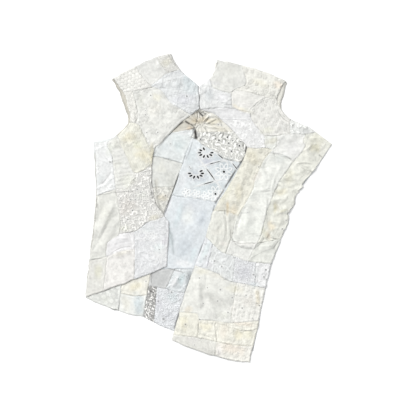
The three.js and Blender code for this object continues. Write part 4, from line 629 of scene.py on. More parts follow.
# Fabrics, one for each slot of the record: thread in millimetres, depth of the weave, how much darker its
# hollows are, roughness, sheen, how the ground and the worked figure differ from the dye in tone, and how
# much rougher the figure is than its ground. The comments say what a fabric gives the eye.
FABRICS = table("slot name weave thread depth hollow roughness sheen ground figure gloss", [
    # Dull and soft, with the fine chequer of a plain weave
    ("cotton_grey_beige", "Plain-woven cotton, washed soft", "plain", 1.4, 0.30, 0.06, 0.92, 0.25,
     1.0, 0.95, 0),
    # The same cloth, dyed after weaving, so that its threads are all of one colour
    ("cotton_olive", "Piece-dyed cotton lawn", "plain", 1.3, 0.25, 0.05, 0.9, 0.25, 1.0, 0.95, 0),
    # Uneven threads that catch the light one by one
    ("cotton_cream", "Slub cotton, plain-woven", "cord", 1.8, 0.30, 0.06, 0.9, 0.3, 1.0, 0.95, 0),
    # Cool and smooth, with hardly any thread showing
    ("cotton_blue", "Fine poplin, calendered", "plain", 1.2, 0.22, 0.05, 0.82, 0.2, 1.0, 0.95, -0.05),
    # A dull figure on a slightly bright ground, all of one dye
    ("damask_beige", "Cotton damask, self-figured", "satin", 1.3, 0.12, 0.02, 0.8, 0.3, 1.005, 0.90, 0.1),
    # The figure is woven in a yellower thread
    ("damask_ochre", "Brocade, ochre weft on cream warp", "satin", 1.3, 0.12, 0.02, 0.8, 0.3,
     1.005, 0.885, 0.1),
    # Long floating threads that shine in soft streaks
    ("satin_silver", "Jacquard satin, woven blue-grey", "satin", 1.2, 0.18, 0.05, 0.55, 0.35,
     1.01, 0.945, 0.15),
    # Smooth and pearly, the brightest of the plain pieces
    ("satin_pearl", "Sateen, mercerised", "satin", 1.2, 0.16, 0.04, 0.5, 0.3, 1.0, 0.96, 0.1),
    # White stitches that stand on a slightly darker ground
    ("embroidered_white", "Cotton lawn, hand-embroidered in white", "plain", 1.3, 0.24, 0.06, 0.85, 0.3,
     0.955, 1.06, -0.15),
    # White outline stitches on a pale grey ground
    ("embroidered_lavender", "Cotton voile, embroidered in white", "plain", 1.3, 0.22, 0.05, 0.85, 0.25,
     0.965, 1.06, -0.05),
    # Pale corded scrolls on a grey ground
    ("embroidered_grey", "Linen, couched with pale cord", "plain", 1.4, 0.28, 0.06, 0.85, 0.25,
     0.955, 1.09, -0.05),
    # Bright domes with dark rings between them
    ("lace_bubble", "Bobble lace, worked in rounds", "net", 1.4, 0.22, 0.04, 0.9, 0.2, 0.96, 1.05, 0),
    # Fine cords over an olive net
    ("lace_olive", "Corded lace on tulle", "net", 1.5, 0.26, 0.05, 0.9, 0.2, 0.94, 1.07, 0),
    # Thick cords over a brown net
    ("lace_brown", "Crochet lace, tea-dyed", "net", 1.6, 0.28, 0.05, 0.92, 0.2, 0.885, 1.14, 0),
    # Raised petals on a dark net
    ("lace_petal", "Guipure lace with petals", "net", 1.5, 0.28, 0.06, 0.9, 0.2, 0.92, 1.09, 0),
    # Open cords over shadow
    ("crochet_cream", "Crocheted cotton edging", "cord", 1.7, 0.26, 0.05, 0.92, 0.2, 0.82, 1.19, 0),
    # Smooth cloth with corded scrolls and stitched rims
    ("eyelet_blue", "Broderie anglaise, cut and whipped", "plain", 1.3, 0.24, 0.05, 0.84, 0.25,
     0.95, 1.09, -0.1),
    # Bunched cloth, which takes painted shade in its folds
    ("gathered_cream", "Crinkled cotton, drawn up on threads", "cord", 1.7, 0.36, 0.08, 0.9, 0.3,
     1.0, 0.95, 0),
    # See-through in the real one: here the dark between its threads is woven in
    ("sheer_mesh", "Power net, knitted", "net", 1.5, 0.30, 0.16, 0.88, 0.15, 1.0, 0.95, 0),
    # Almost black between its light lines
    ("dark_net", "Fishing net lace over black", "net", 1.9, 0.3, 0.08, 0.9, 0.15, 0.52, 1.5, 0),
    # Cream cloth whose eyelets give it its name
    ("dotted_cream", "Cotton sateen, punched with eyelets", "plain", 1.3, 0.24, 0.05, 0.86, 0.3,
     1.0, 0.95, 0),
])

# A dark sheet under the cutwork and the crocheted band, which shows through their holes, with its heights
# in millimetres. It starts this share of the way across and down them, and ends at s_end and t_end.
UNDERLAY = {"name": "BackRight_Underlay", "dye": "#211f1d", "lift": 0.3, "thick": 0.2, "clear": 0.05,
            "start": 0.015, "s_end": 0.6, "t_end": 0.985, "points": 60}
BACKED = ("BackRight_Eyelet", "BackRight_Crochet")
# Washed and dusty cloth keeps this share of its dye's brightness
AGED = 0.87
# Colour of all painted shadow
PAINTED_SHADOW_COLOUR = "#2c2a26"
THREAD_DYE = "#f9f9f7"

# Relief of a patch's upper side in millimetres. Crumpling is smooth hills of two sizes, each a height and
# a size. A seam sinks in a groove beside a ridge, more or less so along its run as it is sewn more or less
# firmly, and it puckers.
CRUMPLES = ((1.1, 21), (0.6, 8.5))
SEWN = {"least": 0.6, "vary": 0.5, "size": 11, "seed": 7}
PUCKER = {"height": 0.55, "size": 5.5}
GROOVE = {"depth": 0.34, "width": 1.3}
RIDGE = {"height": 0.5, "at": 3.2, "width": 1.7}
HOLE_RIM = {"height": 0.5, "at": 0.9, "width": 0.8}
DOT_RIM = {"height": 0.5, "at": 0.8, "width": 0.9, "depth": 0.8, "hole": 0.45}
BARE_EDGE = {"depth": 0.6, "width": 1.2}
CROCHET_GAP_DEPTH = 0.7
LEAST_THICKNESS = 0.5
RIDGES_LIFT_UNDERSIDE = 0.6

# Tones of the cloth. Mottling is smooth hills of three sizes, each a share of the tone and a size.
MOTTLES = ((0.022, 27), (0.024, 9), (0.085, 3.6))
# Painted shade where the relief lies below its own blur, in its hollows, and painted light where it lies
# above, on its crests
HOLLOW = {"blur": 6, "depth": 0.45, "darker": 0.13, "lighter": 0.03}
# Painted light on each seam's ridge and painted shade in its groove, stronger where it is sewn more firmly
SEAM_TONE = {"lighter": 0.035, "at": 2.9, "width": 1.5, "darker": 0.03, "groove": 1.0, "least": 0.5,
             "vary": 0.6}
# Painted shade along the bare edges, with some grime, broken by smooth random hills
EDGE_TONE = {"darker": 0.18, "width": 1.1, "least": 0.6, "vary": 0.6, "size": 9, "seed": 8}
TINT_EDGE = {"at": 1.35, "broken": 0.3, "size": 8, "fade": 1.1, "share": 0.55}
# A painted dark middle in each eyelet, standing for the shade of its hole, inside a ring of pale thread
DOT_TONE = {"dark": 0.75, "hole": 0.42, "pale": 0.5, "at": 0.85, "width": 0.8}
WHIPPED = {"pale": 0.8, "at": 1.0, "width": 0.9}
# Painted shade in the crochet's gaps
GAP_SHADE = 0.5
# How wide and how broken the painted shadow lines are
SHADE_LINE = {"width": 0.62, "least": 0.85, "vary": 0.3, "size": 7}

# Stitches beside the seams, in millimetres, as dashes where a sine of the run stands above its cut
STITCH = {"at": 2.4, "half_width": 0.4, "beat": 2.1, "cut": -0.25, "tone": -0.05}

# How the outer edges wander: how far, and over what length, and how many millimetres a whole of s, or a
# step of t, counts for there
WANDER = {"reach": 7, "side": 1.2, "side_size": 11, "end": 1.1, "end_size": 12}
PER_S = 150
PER_T = {"side": 40, "shoulder": 30, "hem": 50}

# Lines further from a patch than this are passed over, since their bells have died away
REACH = {"fold": 30, "crease": 14, "shade": 12}

# The back's relief is pressed nearly flat under the fronts, from just outside their edges over a short way.
# The left front's hem crosses the back, and is given as its x and its y.
PRESSED = {"share": 0.85, "before": 1, "length": 6, "samples": 400}
LEFT_HEM = ((-257, -220, -150, -86), (-187, -176, -149, -123))

# Shares of each panel's width that show. Outside them the points are HIDDEN_STEP millimetres apart, and a
# patch with holes has points at most HOLED_STEP apart in the share that shows.
SHOWN = {"FrontLeft": (0, 1), "FrontRight": (0, 1), "BackLeft": (0.6, 1), "BackRight": (0, 0.48)}
SHOWN_WHOLE = ("BackLeft_TailGrey", "BackLeft_TailAmber", "BackLeft_TailBlue")
HIDDEN_STEP = 9
HOLED_STEP = 1.0

# The cutwork's scrolls are fainter than other figures, and blossoms on the fronts than those on the back
FAINTER = {"BackRight_Eyelet": 0.35}
FRONT_BLOSSOMS = 0.6
LOOP_WHITE = 0.6

# Rounds in which the points of a patch settle between its seams
SETTLING_STEPS = 24


def ease(q):
    """Smooth step: three q squared less two q cubed, with q kept between 0 and 1."""
    w = np.clip(q, 0, 1)
    return w * w * (3 - 2 * w)


def mix(a, b, w):
    """Straight blend from a to b."""
    return a + (b - a) * w


def bell(away, width):
    """A bell: one in the middle, fallen to a third at its width."""
    return np.exp(-(away / width) ** 2)


def hermite(a, b, leave, arrive, w):
    """Cubic from a to b that leaves and arrives with the given slopes, w from 0 to 1."""
    return ((2 * w**3 - 3 * w**2 + 1) * a + (w**3 - 2 * w**2 + w) * leave
            + (3 * w**2 - 2 * w**3) * b + (w**3 - w**2) * arrive)


def edge_line(sections, side):
    """A panel's edge, x and y of t: a cubic from section to section, straight where it turns a corner."""
    points = np.array([(row[side + "_x"], row[side + "_y"]) for row in sections], float)
    turns = np.array([row[side + "_turn"] == 1 for row in sections])
    turns[[0, -1]] = True
    last = len(points) - 1
    steps = np.diff(points, axis=0)
    through = np.zeros_like(points)
    through[1:-1] = (points[2:] - points[:-2]) / 2
    leave = np.where(turns[:-1, None], steps, through[:-1])
    arrive = np.where(turns[1:, None], steps, through[1:])

    def line(t):
        inside = np.clip(t, 0, last)
        k = np.minimum(inside.astype(int), last - 1)
        w = (inside - k)[..., None]
        return hermite(points[k], points[k + 1], leave[k], arrive[k], w)

    return line


def through_knots(knots):
    """A seam: a cubic through its knots that never swings past them, since each inner slope is twice the
    product of its neighbours over their sum, or nothing where they differ in sign."""
    at, value = np.array(knots, float).T
    slope = np.diff(value) / np.diff(at)
    product = slope[:-1] * slope[1:]
    both = np.where(product > 0, slope[:-1] + slope[1:], 1)
    inner = np.where(product > 0, 2 * product / both, 0)
    bend = np.concatenate([slope[:1], inner, slope[-1:]])

    def line(q):
        inside = np.clip(q, at[0], at[-1])
        k = np.clip(np.searchsorted(at, inside) - 1, 0, len(at) - 2)
        span = at[k + 1] - at[k]
        w = (inside - at[k]) / span
        return hermite(value[k], value[k + 1], bend[k] * span, bend[k + 1] * span, w)

    return line


def patch_edge(panel, names, own_edge, nearer):
    """The edge of a patch: the nearer of its seams, or the panel's own edge."""
    lines = [through_knots(SEAMS[panel][name]) for name in names.split()]

    def line(q):
        if not lines:
            return np.full(np.shape(q), float(own_edge))
        found = lines[0](q)
        for other in lines[1:]:
            found = nearer(found, other(q))
        return found

    return line


def measure(patch, u, v):
    """The panel's s and t of points u across and v down a patch, found by stepping halfway to where the
    patch's seams put them."""
    panel = patch["panel"]
    last = len(SECTIONS[panel]) - 1
    above = patch_edge(panel, patch["above"], 0, np.maximum)
    below = patch_edge(panel, patch["below"], last, np.minimum)
    left = patch_edge(panel, patch["left"], 0, np.maximum)
    right = patch_edge(panel, patch["right"], 1, np.minimum)
    s = np.full(u.shape, 0.5)
    t = mix(above(s), below(s), v)
    for _ in range(SETTLING_STEPS):
        s = mix(left(t), right(t), u)
        t = mix(t, mix(above(s), below(s), v), 0.5)
    return s, t


def place(panel, s, t):
    """Plan of a point of a panel: the blend of its two edges, bowed up at the shoulder and down at the hem.
    A frilled edge waves in and out, by a sine of t and finer random hills that fade with a high power of
    s. Every outer edge wanders a little, by smooth random hills along it."""
    last = len(SECTIONS[panel]) - 1
    shape = PANELS[panel]
    left = edge_line(SECTIONS[panel], "left")(t)
    right = edge_line(SECTIONS[panel], "right")(t)
    plan = mix(left, right, s[..., None])
    belly = 4 * s * (1 - s)
    up = shape["shoulder_bow"] * belly * np.maximum(0, 1 - t) ** 2
    down = shape["hem_bow"] * belly * np.maximum(0, t - last + 1) ** 2
    x, y = plan[..., 0], plan[..., 1] + up - down
    if shape["frill"]:
        run = (t - FRILL["start"]) / (FRILL["end"] - FRILL["start"])
        frilled = (run > 0) & (run < 1)
        wave = np.where(frilled, np.sin(2 * np.pi * FRILL["waves"] * run), 0)
        x = x + FRILL["out"] * wave * s ** FRILL["sharpness"]
        ragged = np.where(frilled, cloud(FRILL["per_t"] * t, 0 * t, FRILL["ragged_size"], 9), 0)
        x = x + FRILL["ragged"] * ragged * s ** (4 * FRILL["sharpness"])
    for side, away in enumerate((s, 1 - s)):
        hills = cloud(PER_T["side"] * t, 0 * t, WANDER["side_size"], 3 + side)
        x = x + WANDER["side"] * bell(away * PER_S, WANDER["reach"]) * hills
    for end, away in enumerate((t * PER_T["shoulder"], (last - t) * PER_T["hem"])):
        hills = cloud(PER_S * s, 0 * s, WANDER["end_size"], 5 + end)
        y = y + WANDER["end"] * bell(away, WANDER["reach"]) * hills
    return x, y


def along_line(row, x, y):
    """How far along a bowed line the nearest point of it is, 0 to 1, and how far each point is from it."""
    run_x, run_y = row["to_x"] - row["from_x"], row["to_y"] - row["from_y"]
    length = math.hypot(run_x, run_y)
    from_x, from_y = x - row["from_x"], y - row["from_y"]
    q = (from_x * run_x + from_y * run_y) / length**2
    nearest = np.clip(q, 0, 1)
    bow = row.get("bow", 0) * 4 * nearest * (1 - nearest)
    aside = (from_y * run_x - from_x * run_y) / length - bow
    return nearest, np.hypot(aside, (q - nearest) * length)


def reaches(row, x, y, reach):
    """Whether a line comes within reach of a patch."""
    return (max(row["from_x"], row["to_x"]) + reach > x.min()
            and min(row["from_x"], row["to_x"]) - reach < x.max()
            and max(row["from_y"], row["to_y"]) + reach > y.min()
            and min(row["from_y"], row["to_y"]) - reach < y.max())


def fold_height(layer, x, y):
    """The highest of a layer's folds: a bell across the line of each, which fades with the fourth power
    towards both its ends."""
    highest = np.zeros_like(x)
    for fold in FOLDS[layer]:
        if reaches(fold, x, y, REACH["fold"]):
            nearest, away = along_line(fold, x, y)
            fade = 1 - (2 * nearest - 1) ** 4
            highest = np.maximum(highest, fold["height"] * fade * bell(away, fold["width"]))
    return highest


def crease_height(layer, x, y):
    """Sum of a layer's creases: bells up or down across their bowed lines, fading at both ends."""
    total = np.zeros_like(x)
    for crease in CREASES[layer]:
        if reaches(crease, x, y, REACH["crease"]):
            nearest, away = along_line(crease, x, y)
            fade = 1 - (2 * nearest - 1) ** 4
            total = total + crease["height"] * fade * bell(away, crease["width"])
    return total


def cloud(x, y, size, seed):
    """Smooth random hills from -1 to 1, about size apart: seeded numbers at the corners of a square
    lattice, with an eased blend between them."""
    draws = np.random.default_rng(seed).uniform(-1, 1, (64, 64))
    p, q = x / size, y / size
    i, j = np.floor(p).astype(int), np.floor(q).astype(int)
    a, b = ease(p - i), ease(q - j)
    near = mix(draws[i % 64, j % 64], draws[(i + 1) % 64, j % 64], a)
    far = mix(draws[i % 64, (j + 1) % 64], draws[(i + 1) % 64, (j + 1) % 64], a)
    return mix(near, far, b)


def cells(p, q, repeat, seed):
    """The nine lattice cells round each point: how far it is from the shifted middle of each, and two
    seeded numbers of that cell."""
    draws = np.random.default_rng(seed).random((4, 64, 64))
    i0, j0 = np.floor(p / repeat).astype(int), np.floor(q / repeat).astype(int)
    for di in (-1, 0, 1):
        for dj in (-1, 0, 1):
            i, j = i0 + di, j0 + dj
            shift_x, shift_y, one, two = draws[:, i % 64, j % 64]
            middle_x = (i + 0.25 + 0.5 * shift_x) * repeat
            middle_y = (j + 0.25 + 0.5 * shift_y) * repeat
            yield p - middle_x, q - middle_y, one, two


def plain(p, q, repeat, seed):
    """No figure."""
    return np.zeros_like(p)


def blooms(p, q, repeat, seed):
    """Flowers: the reach of each swells and shrinks with the cosine of its angle, and its eye and the
    lines between its petals are left out. Thin tendrils run between the flowers."""
    figure = 0.6 * bell(cloud(p, q, repeat * 0.45, seed + 1), 0.07)
    for dx, dy, one, two in cells(p, q, repeat, seed):
        reach = repeat * (0.26 + 0.22 * one)
        radius = np.hypot(dx, dy) / reach
        turn = np.arctan2(dy, dx) + 6.28 * two
        petals = np.floor(5 + 3 * one)
        rim = 0.7 + 0.3 * np.abs(np.cos(petals * turn / 2))
        body = ease((rim - radius) / 0.16)
        gaps = bell(np.cos(petals * turn / 2), 0.22) * ease((radius - 0.2) / 0.2)
        eye = bell(radius, 0.17)
        figure = np.maximum(figure, body * (1 - 0.75 * gaps) - 0.8 * eye)
    return np.clip(figure, 0, 1)


def sprays(p, q, repeat, seed):
    """Sprigs: a curved stem along each cell's own direction, with slanting leaves that stand off it and
    grow shorter towards its ends."""
    figure = np.zeros_like(p)
    for dx, dy, one, two in cells(p, q, repeat, seed):
        along = dx * np.cos(6.28 * two) + dy * np.sin(6.28 * two)
        across = dy * np.cos(6.28 * two) - dx * np.sin(6.28 * two)
        half = repeat * (0.42 + 0.12 * one)
        off = across - 0.16 * half * np.sin(2.4 * along / half)
        inside = ease((half - np.abs(along)) / (0.2 * half))
        stem = bell(off, 0.9) * inside
        reach = 0.34 * half * (1 - (along / half) ** 2)
        beat = 0.5 + 0.5 * np.cos(6.28 * (along - 0.9 * np.abs(off)) / (0.22 * repeat))
        leaves = ease((reach - np.abs(off)) / 1.4) * ease((beat - 0.3) / 0.35) * inside
        figure = np.maximum(figure, np.maximum(stem, leaves))
    return figure


def curls(p, q, repeat, seed):
    """Coiled cords: a spiral in each cell, whose turns stand a third of the cell apart, and cords that
    wander between the coils."""
    figure = 0.8 * bell(cloud(p, q, repeat * 0.5, seed + 1), 0.13)
    for dx, dy, one, two in cells(p, q, repeat, seed):
        radius = np.hypot(dx, dy)
        way = np.where(one > 0.5, 1, -1)
        turn = (radius / (0.3 * repeat) - way * np.arctan2(dy, dx) / 6.2832 + two) % 1
        cord = ease((0.3 - np.abs(turn - 0.5)) / 0.16)
        inside = ease((repeat * (0.4 + 0.14 * one) - radius) / (0.12 * repeat))
        figure = mix(figure, cord, inside)
    return figure


def scrolls(p, q, repeat, seed):
    """Wandering lines: where smooth random hills cross their middle height, at two sizes."""
    large = bell(cloud(p, q, repeat * 0.7, seed), 0.16)
    small = bell(cloud(p, q, repeat * 0.38, seed + 1), 0.14)
    return np.maximum(large, 0.7 * small)


def bobbles(p, q, repeat, seed):
    """Domes on a lattice of triangles: the root of one less the squared distance from each middle."""
    row = 1.732 * repeat
    dome = np.zeros_like(p)
    for shift in (0, 0.5):
        dx = ((p / repeat + shift) % 1 - 0.5) * repeat
        dy = ((q / row + shift) % 1 - 0.5) * row
        dome = np.maximum(dome, 1 - (dx**2 + dy**2) / (0.52 * repeat) ** 2)
    return np.sqrt(dome)


def ripples(p, q, repeat, seed):
    """Waves across the cloth: a sine that smooth random hills push to and fro."""
    return 0.5 + 0.5 * np.sin(6.2832 * q / repeat + 2.2 * cloud(p, q, repeat * 1.6, seed))


def dots(p, q, repeat, seed):
    """Small ringed dots, one in each cell."""
    figure = np.zeros_like(p)
    for dx, dy, _, _ in cells(p, q, repeat, seed):
        figure = np.maximum(figure, bell(np.hypot(dx, dy) - 0.14 * repeat, 0.8))
    return figure


def blossom_cords(layer, x, y):
    """Loops of cord round each blossom's eyelet: one wedge of the circle is folded onto another, and in it
    the cord is where the oval radius from the middle of a loop is one."""
    cords = np.zeros_like(x)
    for blossom in BLOSSOMS[layer]:
        radius = np.hypot(x - blossom["x"], y - blossom["y"])
        if radius.min() < 20:
            share = np.arctan2(y - blossom["y"], x - blossom["x"]) / (2 * np.pi) * blossom["loops"]
            turn = (share % 1 - 0.5) * 2 * np.pi / blossom["loops"]
            along, across = radius * np.cos(turn) - blossom["middle"], radius * np.sin(turn)
            oval = np.hypot(along / blossom["half_length"], across / blossom["half_width"])
            cords = np.maximum(cords, bell((oval - 1) * blossom["half_width"], 1.0))
    return cords


def crochet_loops(name, x, y):
    """Cords and gaps of the crocheted band's loops, from 0 to 1, the gaps being painted shade: a loop's
    cord fills its slanting oval, and its gap is where the oval radius is 1.4, broken by smooth random hills
    and gone below its middle."""
    cords, gaps = np.zeros_like(x), np.zeros_like(x)
    for loop in LOOPS if name == "BackRight_Crochet" else []:
        along, above = turned(x - loop["x"], y - loop["y"], loop["slant"])
        along, above = along / loop["half_width"], above / loop["half_height"]
        oval = np.hypot(along, above)
        cords = np.maximum(cords, ease((1.0 - oval) / 0.4))
        broken = ease(0.75 + 0.9 * cloud(x, y, 5, 51))
        gap = bell((oval - 1.4) * loop["half_width"], 1.2) * ease(1.2 * above + 0.8) * broken
        gaps = np.maximum(gaps, loop["dark"] * gap)
    return cords, gaps * (1 - cords)


def fan_height(panel, x, y):
    """Gathers that spread from a point: waves of the angle, bent by smooth random hills, which start a
    little way off it and flatten further out."""
    total = np.zeros_like(x)
    for fan in FANS:
        if fan["panel"] == panel:
            radius = np.hypot(x - fan["x"], y - fan["y"])
            angle = np.arctan2(y - fan["y"], x - fan["x"]) + 0.16 * cloud(x, y, 14, 31)
            rise = ease(radius / fan["near"]) * (1 - ease((radius - 0.3 * fan["far"]) / (0.7 * fan["far"])))
            waves = np.sin(fan["folds"] * angle) + 0.5 * np.sin(1.7 * fan["folds"] * angle + 1)
            total = total + fan["height"] * rise * waves
    return total


FIGURES = {f.__name__: f for f in (plain, blooms, sprays, curls, scrolls, bobbles, ripples, dots)}


def turned(x, y, degrees):
    """Plan turned by the grain of a cloth."""
    a = math.radians(degrees)
    return x * math.cos(a) + y * math.sin(a), y * math.cos(a) - x * math.sin(a)


def cut_holes(name):
    """The holes of a cutwork patch, each as middle x and y, half length, half width and turn."""
    holes = [(h["x"], h["y"], h["width"] / 2, h["width"] / 2, 0) for h in ROUND_HOLES.get(name, [])]
    if name != "BackRight_Eyelet":
        return holes
    for daisy in DAISIES:
        for k in range(daisy["first"], daisy["last"] + 1):
            turn = 2 * math.pi * k / daisy["petals"]
            out_x, out_y = daisy["across"] * math.cos(turn), daisy["down"] * math.sin(turn)
            middle = (daisy["x"] + out_x, daisy["y"] + out_y)
            holes.append((*middle, PETAL["length"] / 2, PETAL["width"] / 2, math.atan2(out_y, out_x)))
    for slit in SLITS:
        run_x, run_y = slit["to_x"] - slit["from_x"], slit["to_y"] - slit["from_y"]
        middle = (slit["from_x"] + run_x / 2, slit["from_y"] + run_y / 2)
        holes.append((*middle, math.hypot(run_x, run_y) / 2, slit["width"] / 2, math.atan2(run_y, run_x)))
    return holes


def pull_to_holes(holes, x, y, step):
    """Draws the points nearest to a hole's rim onto the rim, and gives for each point how far outside the
    nearest hole it lies, less than nothing inside: the oval radius less one, times the half width."""
    outside = np.full(x.shape, 99.0)
    for middle_x, middle_y, half_length, half_width, turn in holes:
        along, across = turned(x - middle_x, y - middle_y, math.degrees(turn))
        radius = np.hypot(along / half_length, across / half_width)
        near = np.abs(radius - 1) < 0.53 * step / half_width
        keep = np.where(near, 1 / np.maximum(radius, 0.2), 1)
        x = middle_x + (x - middle_x) * keep
        y = middle_y + (y - middle_y) * keep
        outside = np.minimum(outside, np.where(near, 0, (radius - 1) * half_width))
    return x, y, outside


def lengths_along(x, y, axis):
    """Distance along the rows or columns of a grid from their start."""
    steps = np.hypot(np.diff(x, axis=axis), np.diff(y, axis=axis))
    start = np.zeros_like(np.take(x, [0], axis=axis))
    return np.concatenate([start, np.cumsum(steps, axis=axis)], axis=axis)


def spaced(length, step, shown, coarse):
    """Numbers from 0 to 1, a fine step apart in the share that shows and a coarse one outside it."""
    marks = [0.0, shown[0], shown[1], 1.0]
    parts = []
    for start, end, gap in zip(marks[:-1], marks[1:], (coarse, step, coarse)):
        count = int(math.ceil((end - start) * length / gap))
        if count:
            parts.append(np.linspace(start, end, count + 1)[:-1])
    return np.concatenate(parts + [np.array([1.0])])


def soften(field, times):
    """Blurs a grid by the mean of each point and its neighbours, over and over."""
    for _ in range(times):
        for axis in (0, 1):
            count = field.shape[axis]
            wide = np.pad(field, [(1, 1) if k == axis else (0, 0) for k in (0, 1)], mode="edge")
            low = np.take(wide, range(0, count), axis)
            high = np.take(wide, range(2, count + 2), axis)
            field = 0.25 * low + 0.5 * field + 0.25 * high
    return field


def hidden_share(x, y):
    """How far a point of the back lies under the fronts, from 0 in the open to 1 past their edges."""
    def edge_x(panel, side):
        t = np.linspace(0, len(SECTIONS[panel]) - 1, PRESSED["samples"])
        line = edge_line(SECTIONS[panel], side)(t)[::-1]
        return np.interp(y, line[:, 1], line[:, 0])

    def past(away):
        return ease((away + PRESSED["before"]) / PRESSED["length"])

    under_left = past(edge_x("FrontLeft", "right") - x) * past(y - np.interp(x, *LEFT_HEM))
    return np.maximum(past(x - edge_x("FrontRight", "left")), under_left)


def patch_grid(patch, step):
    """Plan of a patch on a grid, in millimetres, with s and t, the distance to its nearest seam, the run
    along that seam, the distance to the panel's own edge and the distance outside the nearest hole."""
    u, v = np.meshgrid(np.linspace(0, 1, 9), np.linspace(0, 1, 9))
    s, t = measure(patch, u, v)
    x, y = place(patch["panel"], s, t)
    width = lengths_along(x, y, 1)[:, -1].max()
    length = lengths_along(x, y, 0)[-1].max()
    low, high = s[:, 0].min(), s[:, -1].max()
    bare = (0, 1) if patch["name"] in SHOWN_WHOLE else SHOWN[patch["panel"]]
    shown = [float(np.clip((share - low) / (high - low), 0, 1)) for share in bare]
    u, v = np.meshgrid(spaced(width, step, shown, HIDDEN_STEP), spaced(length, step, (0, 1), step))
    s, t = measure(patch, u, v)
    x, y = place(patch["panel"], s, t)
    x, y, outside = pull_to_holes(cut_holes(patch["name"]), x, y, step)
    across, down = lengths_along(x, y, 1), lengths_along(x, y, 0)
    sides = {
        "left": across, "right": across[:, -1:] - across, "above": down, "below": down[-1:] - down,
    }
    edge = np.minimum.reduce(list(sides.values()))
    by_side = np.minimum(sides["left"], sides["right"]) < np.minimum(sides["above"], sides["below"])
    own = [distance for side, distance in sides.items() if not patch[side]]
    return {
        "x": x, "y": y, "s": s, "t": t, "edge": edge, "run": np.where(by_side, down, across),
        "rim": np.minimum.reduce(own + [np.full(x.shape, 99.0)]), "outside": outside,
        "flat": (float(across[:, -1].mean()), float(down[-1].mean())),
    }


def patch_heights(patch, grid, figure, seed):
    """Underside and upper side of a patch. Both follow the solid: the back lies flat, and the fronts rise
    off it from their sewn sides and over their folds and gathers, and droop onto it again at their free
    edges. The upper side then gets its creases, crumpling, puckered seams, worked figure, and rims round
    its holes and eyelets."""
    x, y, s, t, edge = (grid[key] for key in ("x", "y", "s", "t", "edge"))
    panel = PANELS[patch["panel"]]
    layer = panel["layer"]
    creases = crease_height(layer, x, y) + fan_height(patch["panel"], x, y)
    crumpled = sum(height * cloud(x, y, size, seed + k) for k, (height, size) in enumerate(CRUMPLES))
    sewn = SEWN["least"] + SEWN["vary"] * cloud(x, y, SEWN["size"], SEWN["seed"])
    puckers = cloud(grid["run"], edge, PUCKER["size"], seed + 2) * bell(edge, PUCKER["size"])
    relief = creases + patch["crumple"] * crumpled + PUCKER["height"] * puckers
    relief = relief - GROOVE["depth"] * sewn * bell(edge, GROOVE["width"])
    relief = relief + RIDGE["height"] * (1 - 0.5 * sewn) * bell(edge - RIDGE["at"], RIDGE["width"])
    relief = relief + patch["relief"] * figure
    relief = relief + HOLE_RIM["height"] * bell(grid["outside"] - HOLE_RIM["at"], HOLE_RIM["width"])
    for dot in DOTS[layer]:
        away = np.hypot(x - dot["x"], y - dot["y"])
        relief = relief + DOT_RIM["height"] * bell(away - DOT_RIM["at"] * dot["width"], DOT_RIM["width"])
        relief = relief - DOT_RIM["depth"] * bell(away, DOT_RIM["hole"] * dot["width"])
    relief = relief - BARE_EDGE["depth"] * (1 - ease(grid["rim"] / BARE_EDGE["width"]))
    relief = relief - CROCHET_GAP_DEPTH * grid["gaps"]
    if layer == "back":
        under = np.full(x.shape, UNDERLAY["lift"] if patch["name"] in BACKED else 0.0)
        level = CLOTH + patch["proud"] + fold_height("back", x, y)
        relief = relief * (1 - PRESSED["share"] * hidden_share(x, y))
        return under, np.maximum(level + relief, under + LEAST_THICKNESS)
    puff = FRONT_PUFF * ease(np.abs(s - panel["side_at"]) / PUFF_REACH_ACROSS) * ease(t / PUFF_REACH_DOWN)
    droop = (LAYER_GAP + puff - EDGE_GAP) * (1 - ease(grid["rim"] / EDGE_DROOP))
    under = CLOTH + LAYER_GAP + puff - droop + fold_height("front", x, y)
    if patch["name"] == "FrontRight_GatheredStrip":
        run = (t + GATHERS["slant"] * s - GATHERS["start"]) / (GATHERS["end"] - GATHERS["start"])
        share = UNEVEN["share"] + UNEVEN["vary"] * cloud(x, y, UNEVEN["size"], 41)
        run = run + UNEVEN["shift"] * cloud(x, y, UNEVEN["shift_size"], 42)
        under = under + share * GATHERS["height"] * np.sin(np.pi * GATHERS["waves"] * run) ** 2
    level = under + CLOTH + patch["proud"]
    under = under + RIDGES_LIFT_UNDERSIDE * np.maximum(creases, 0)
    return under, np.maximum(level + relief, under + LEAST_THICKNESS)


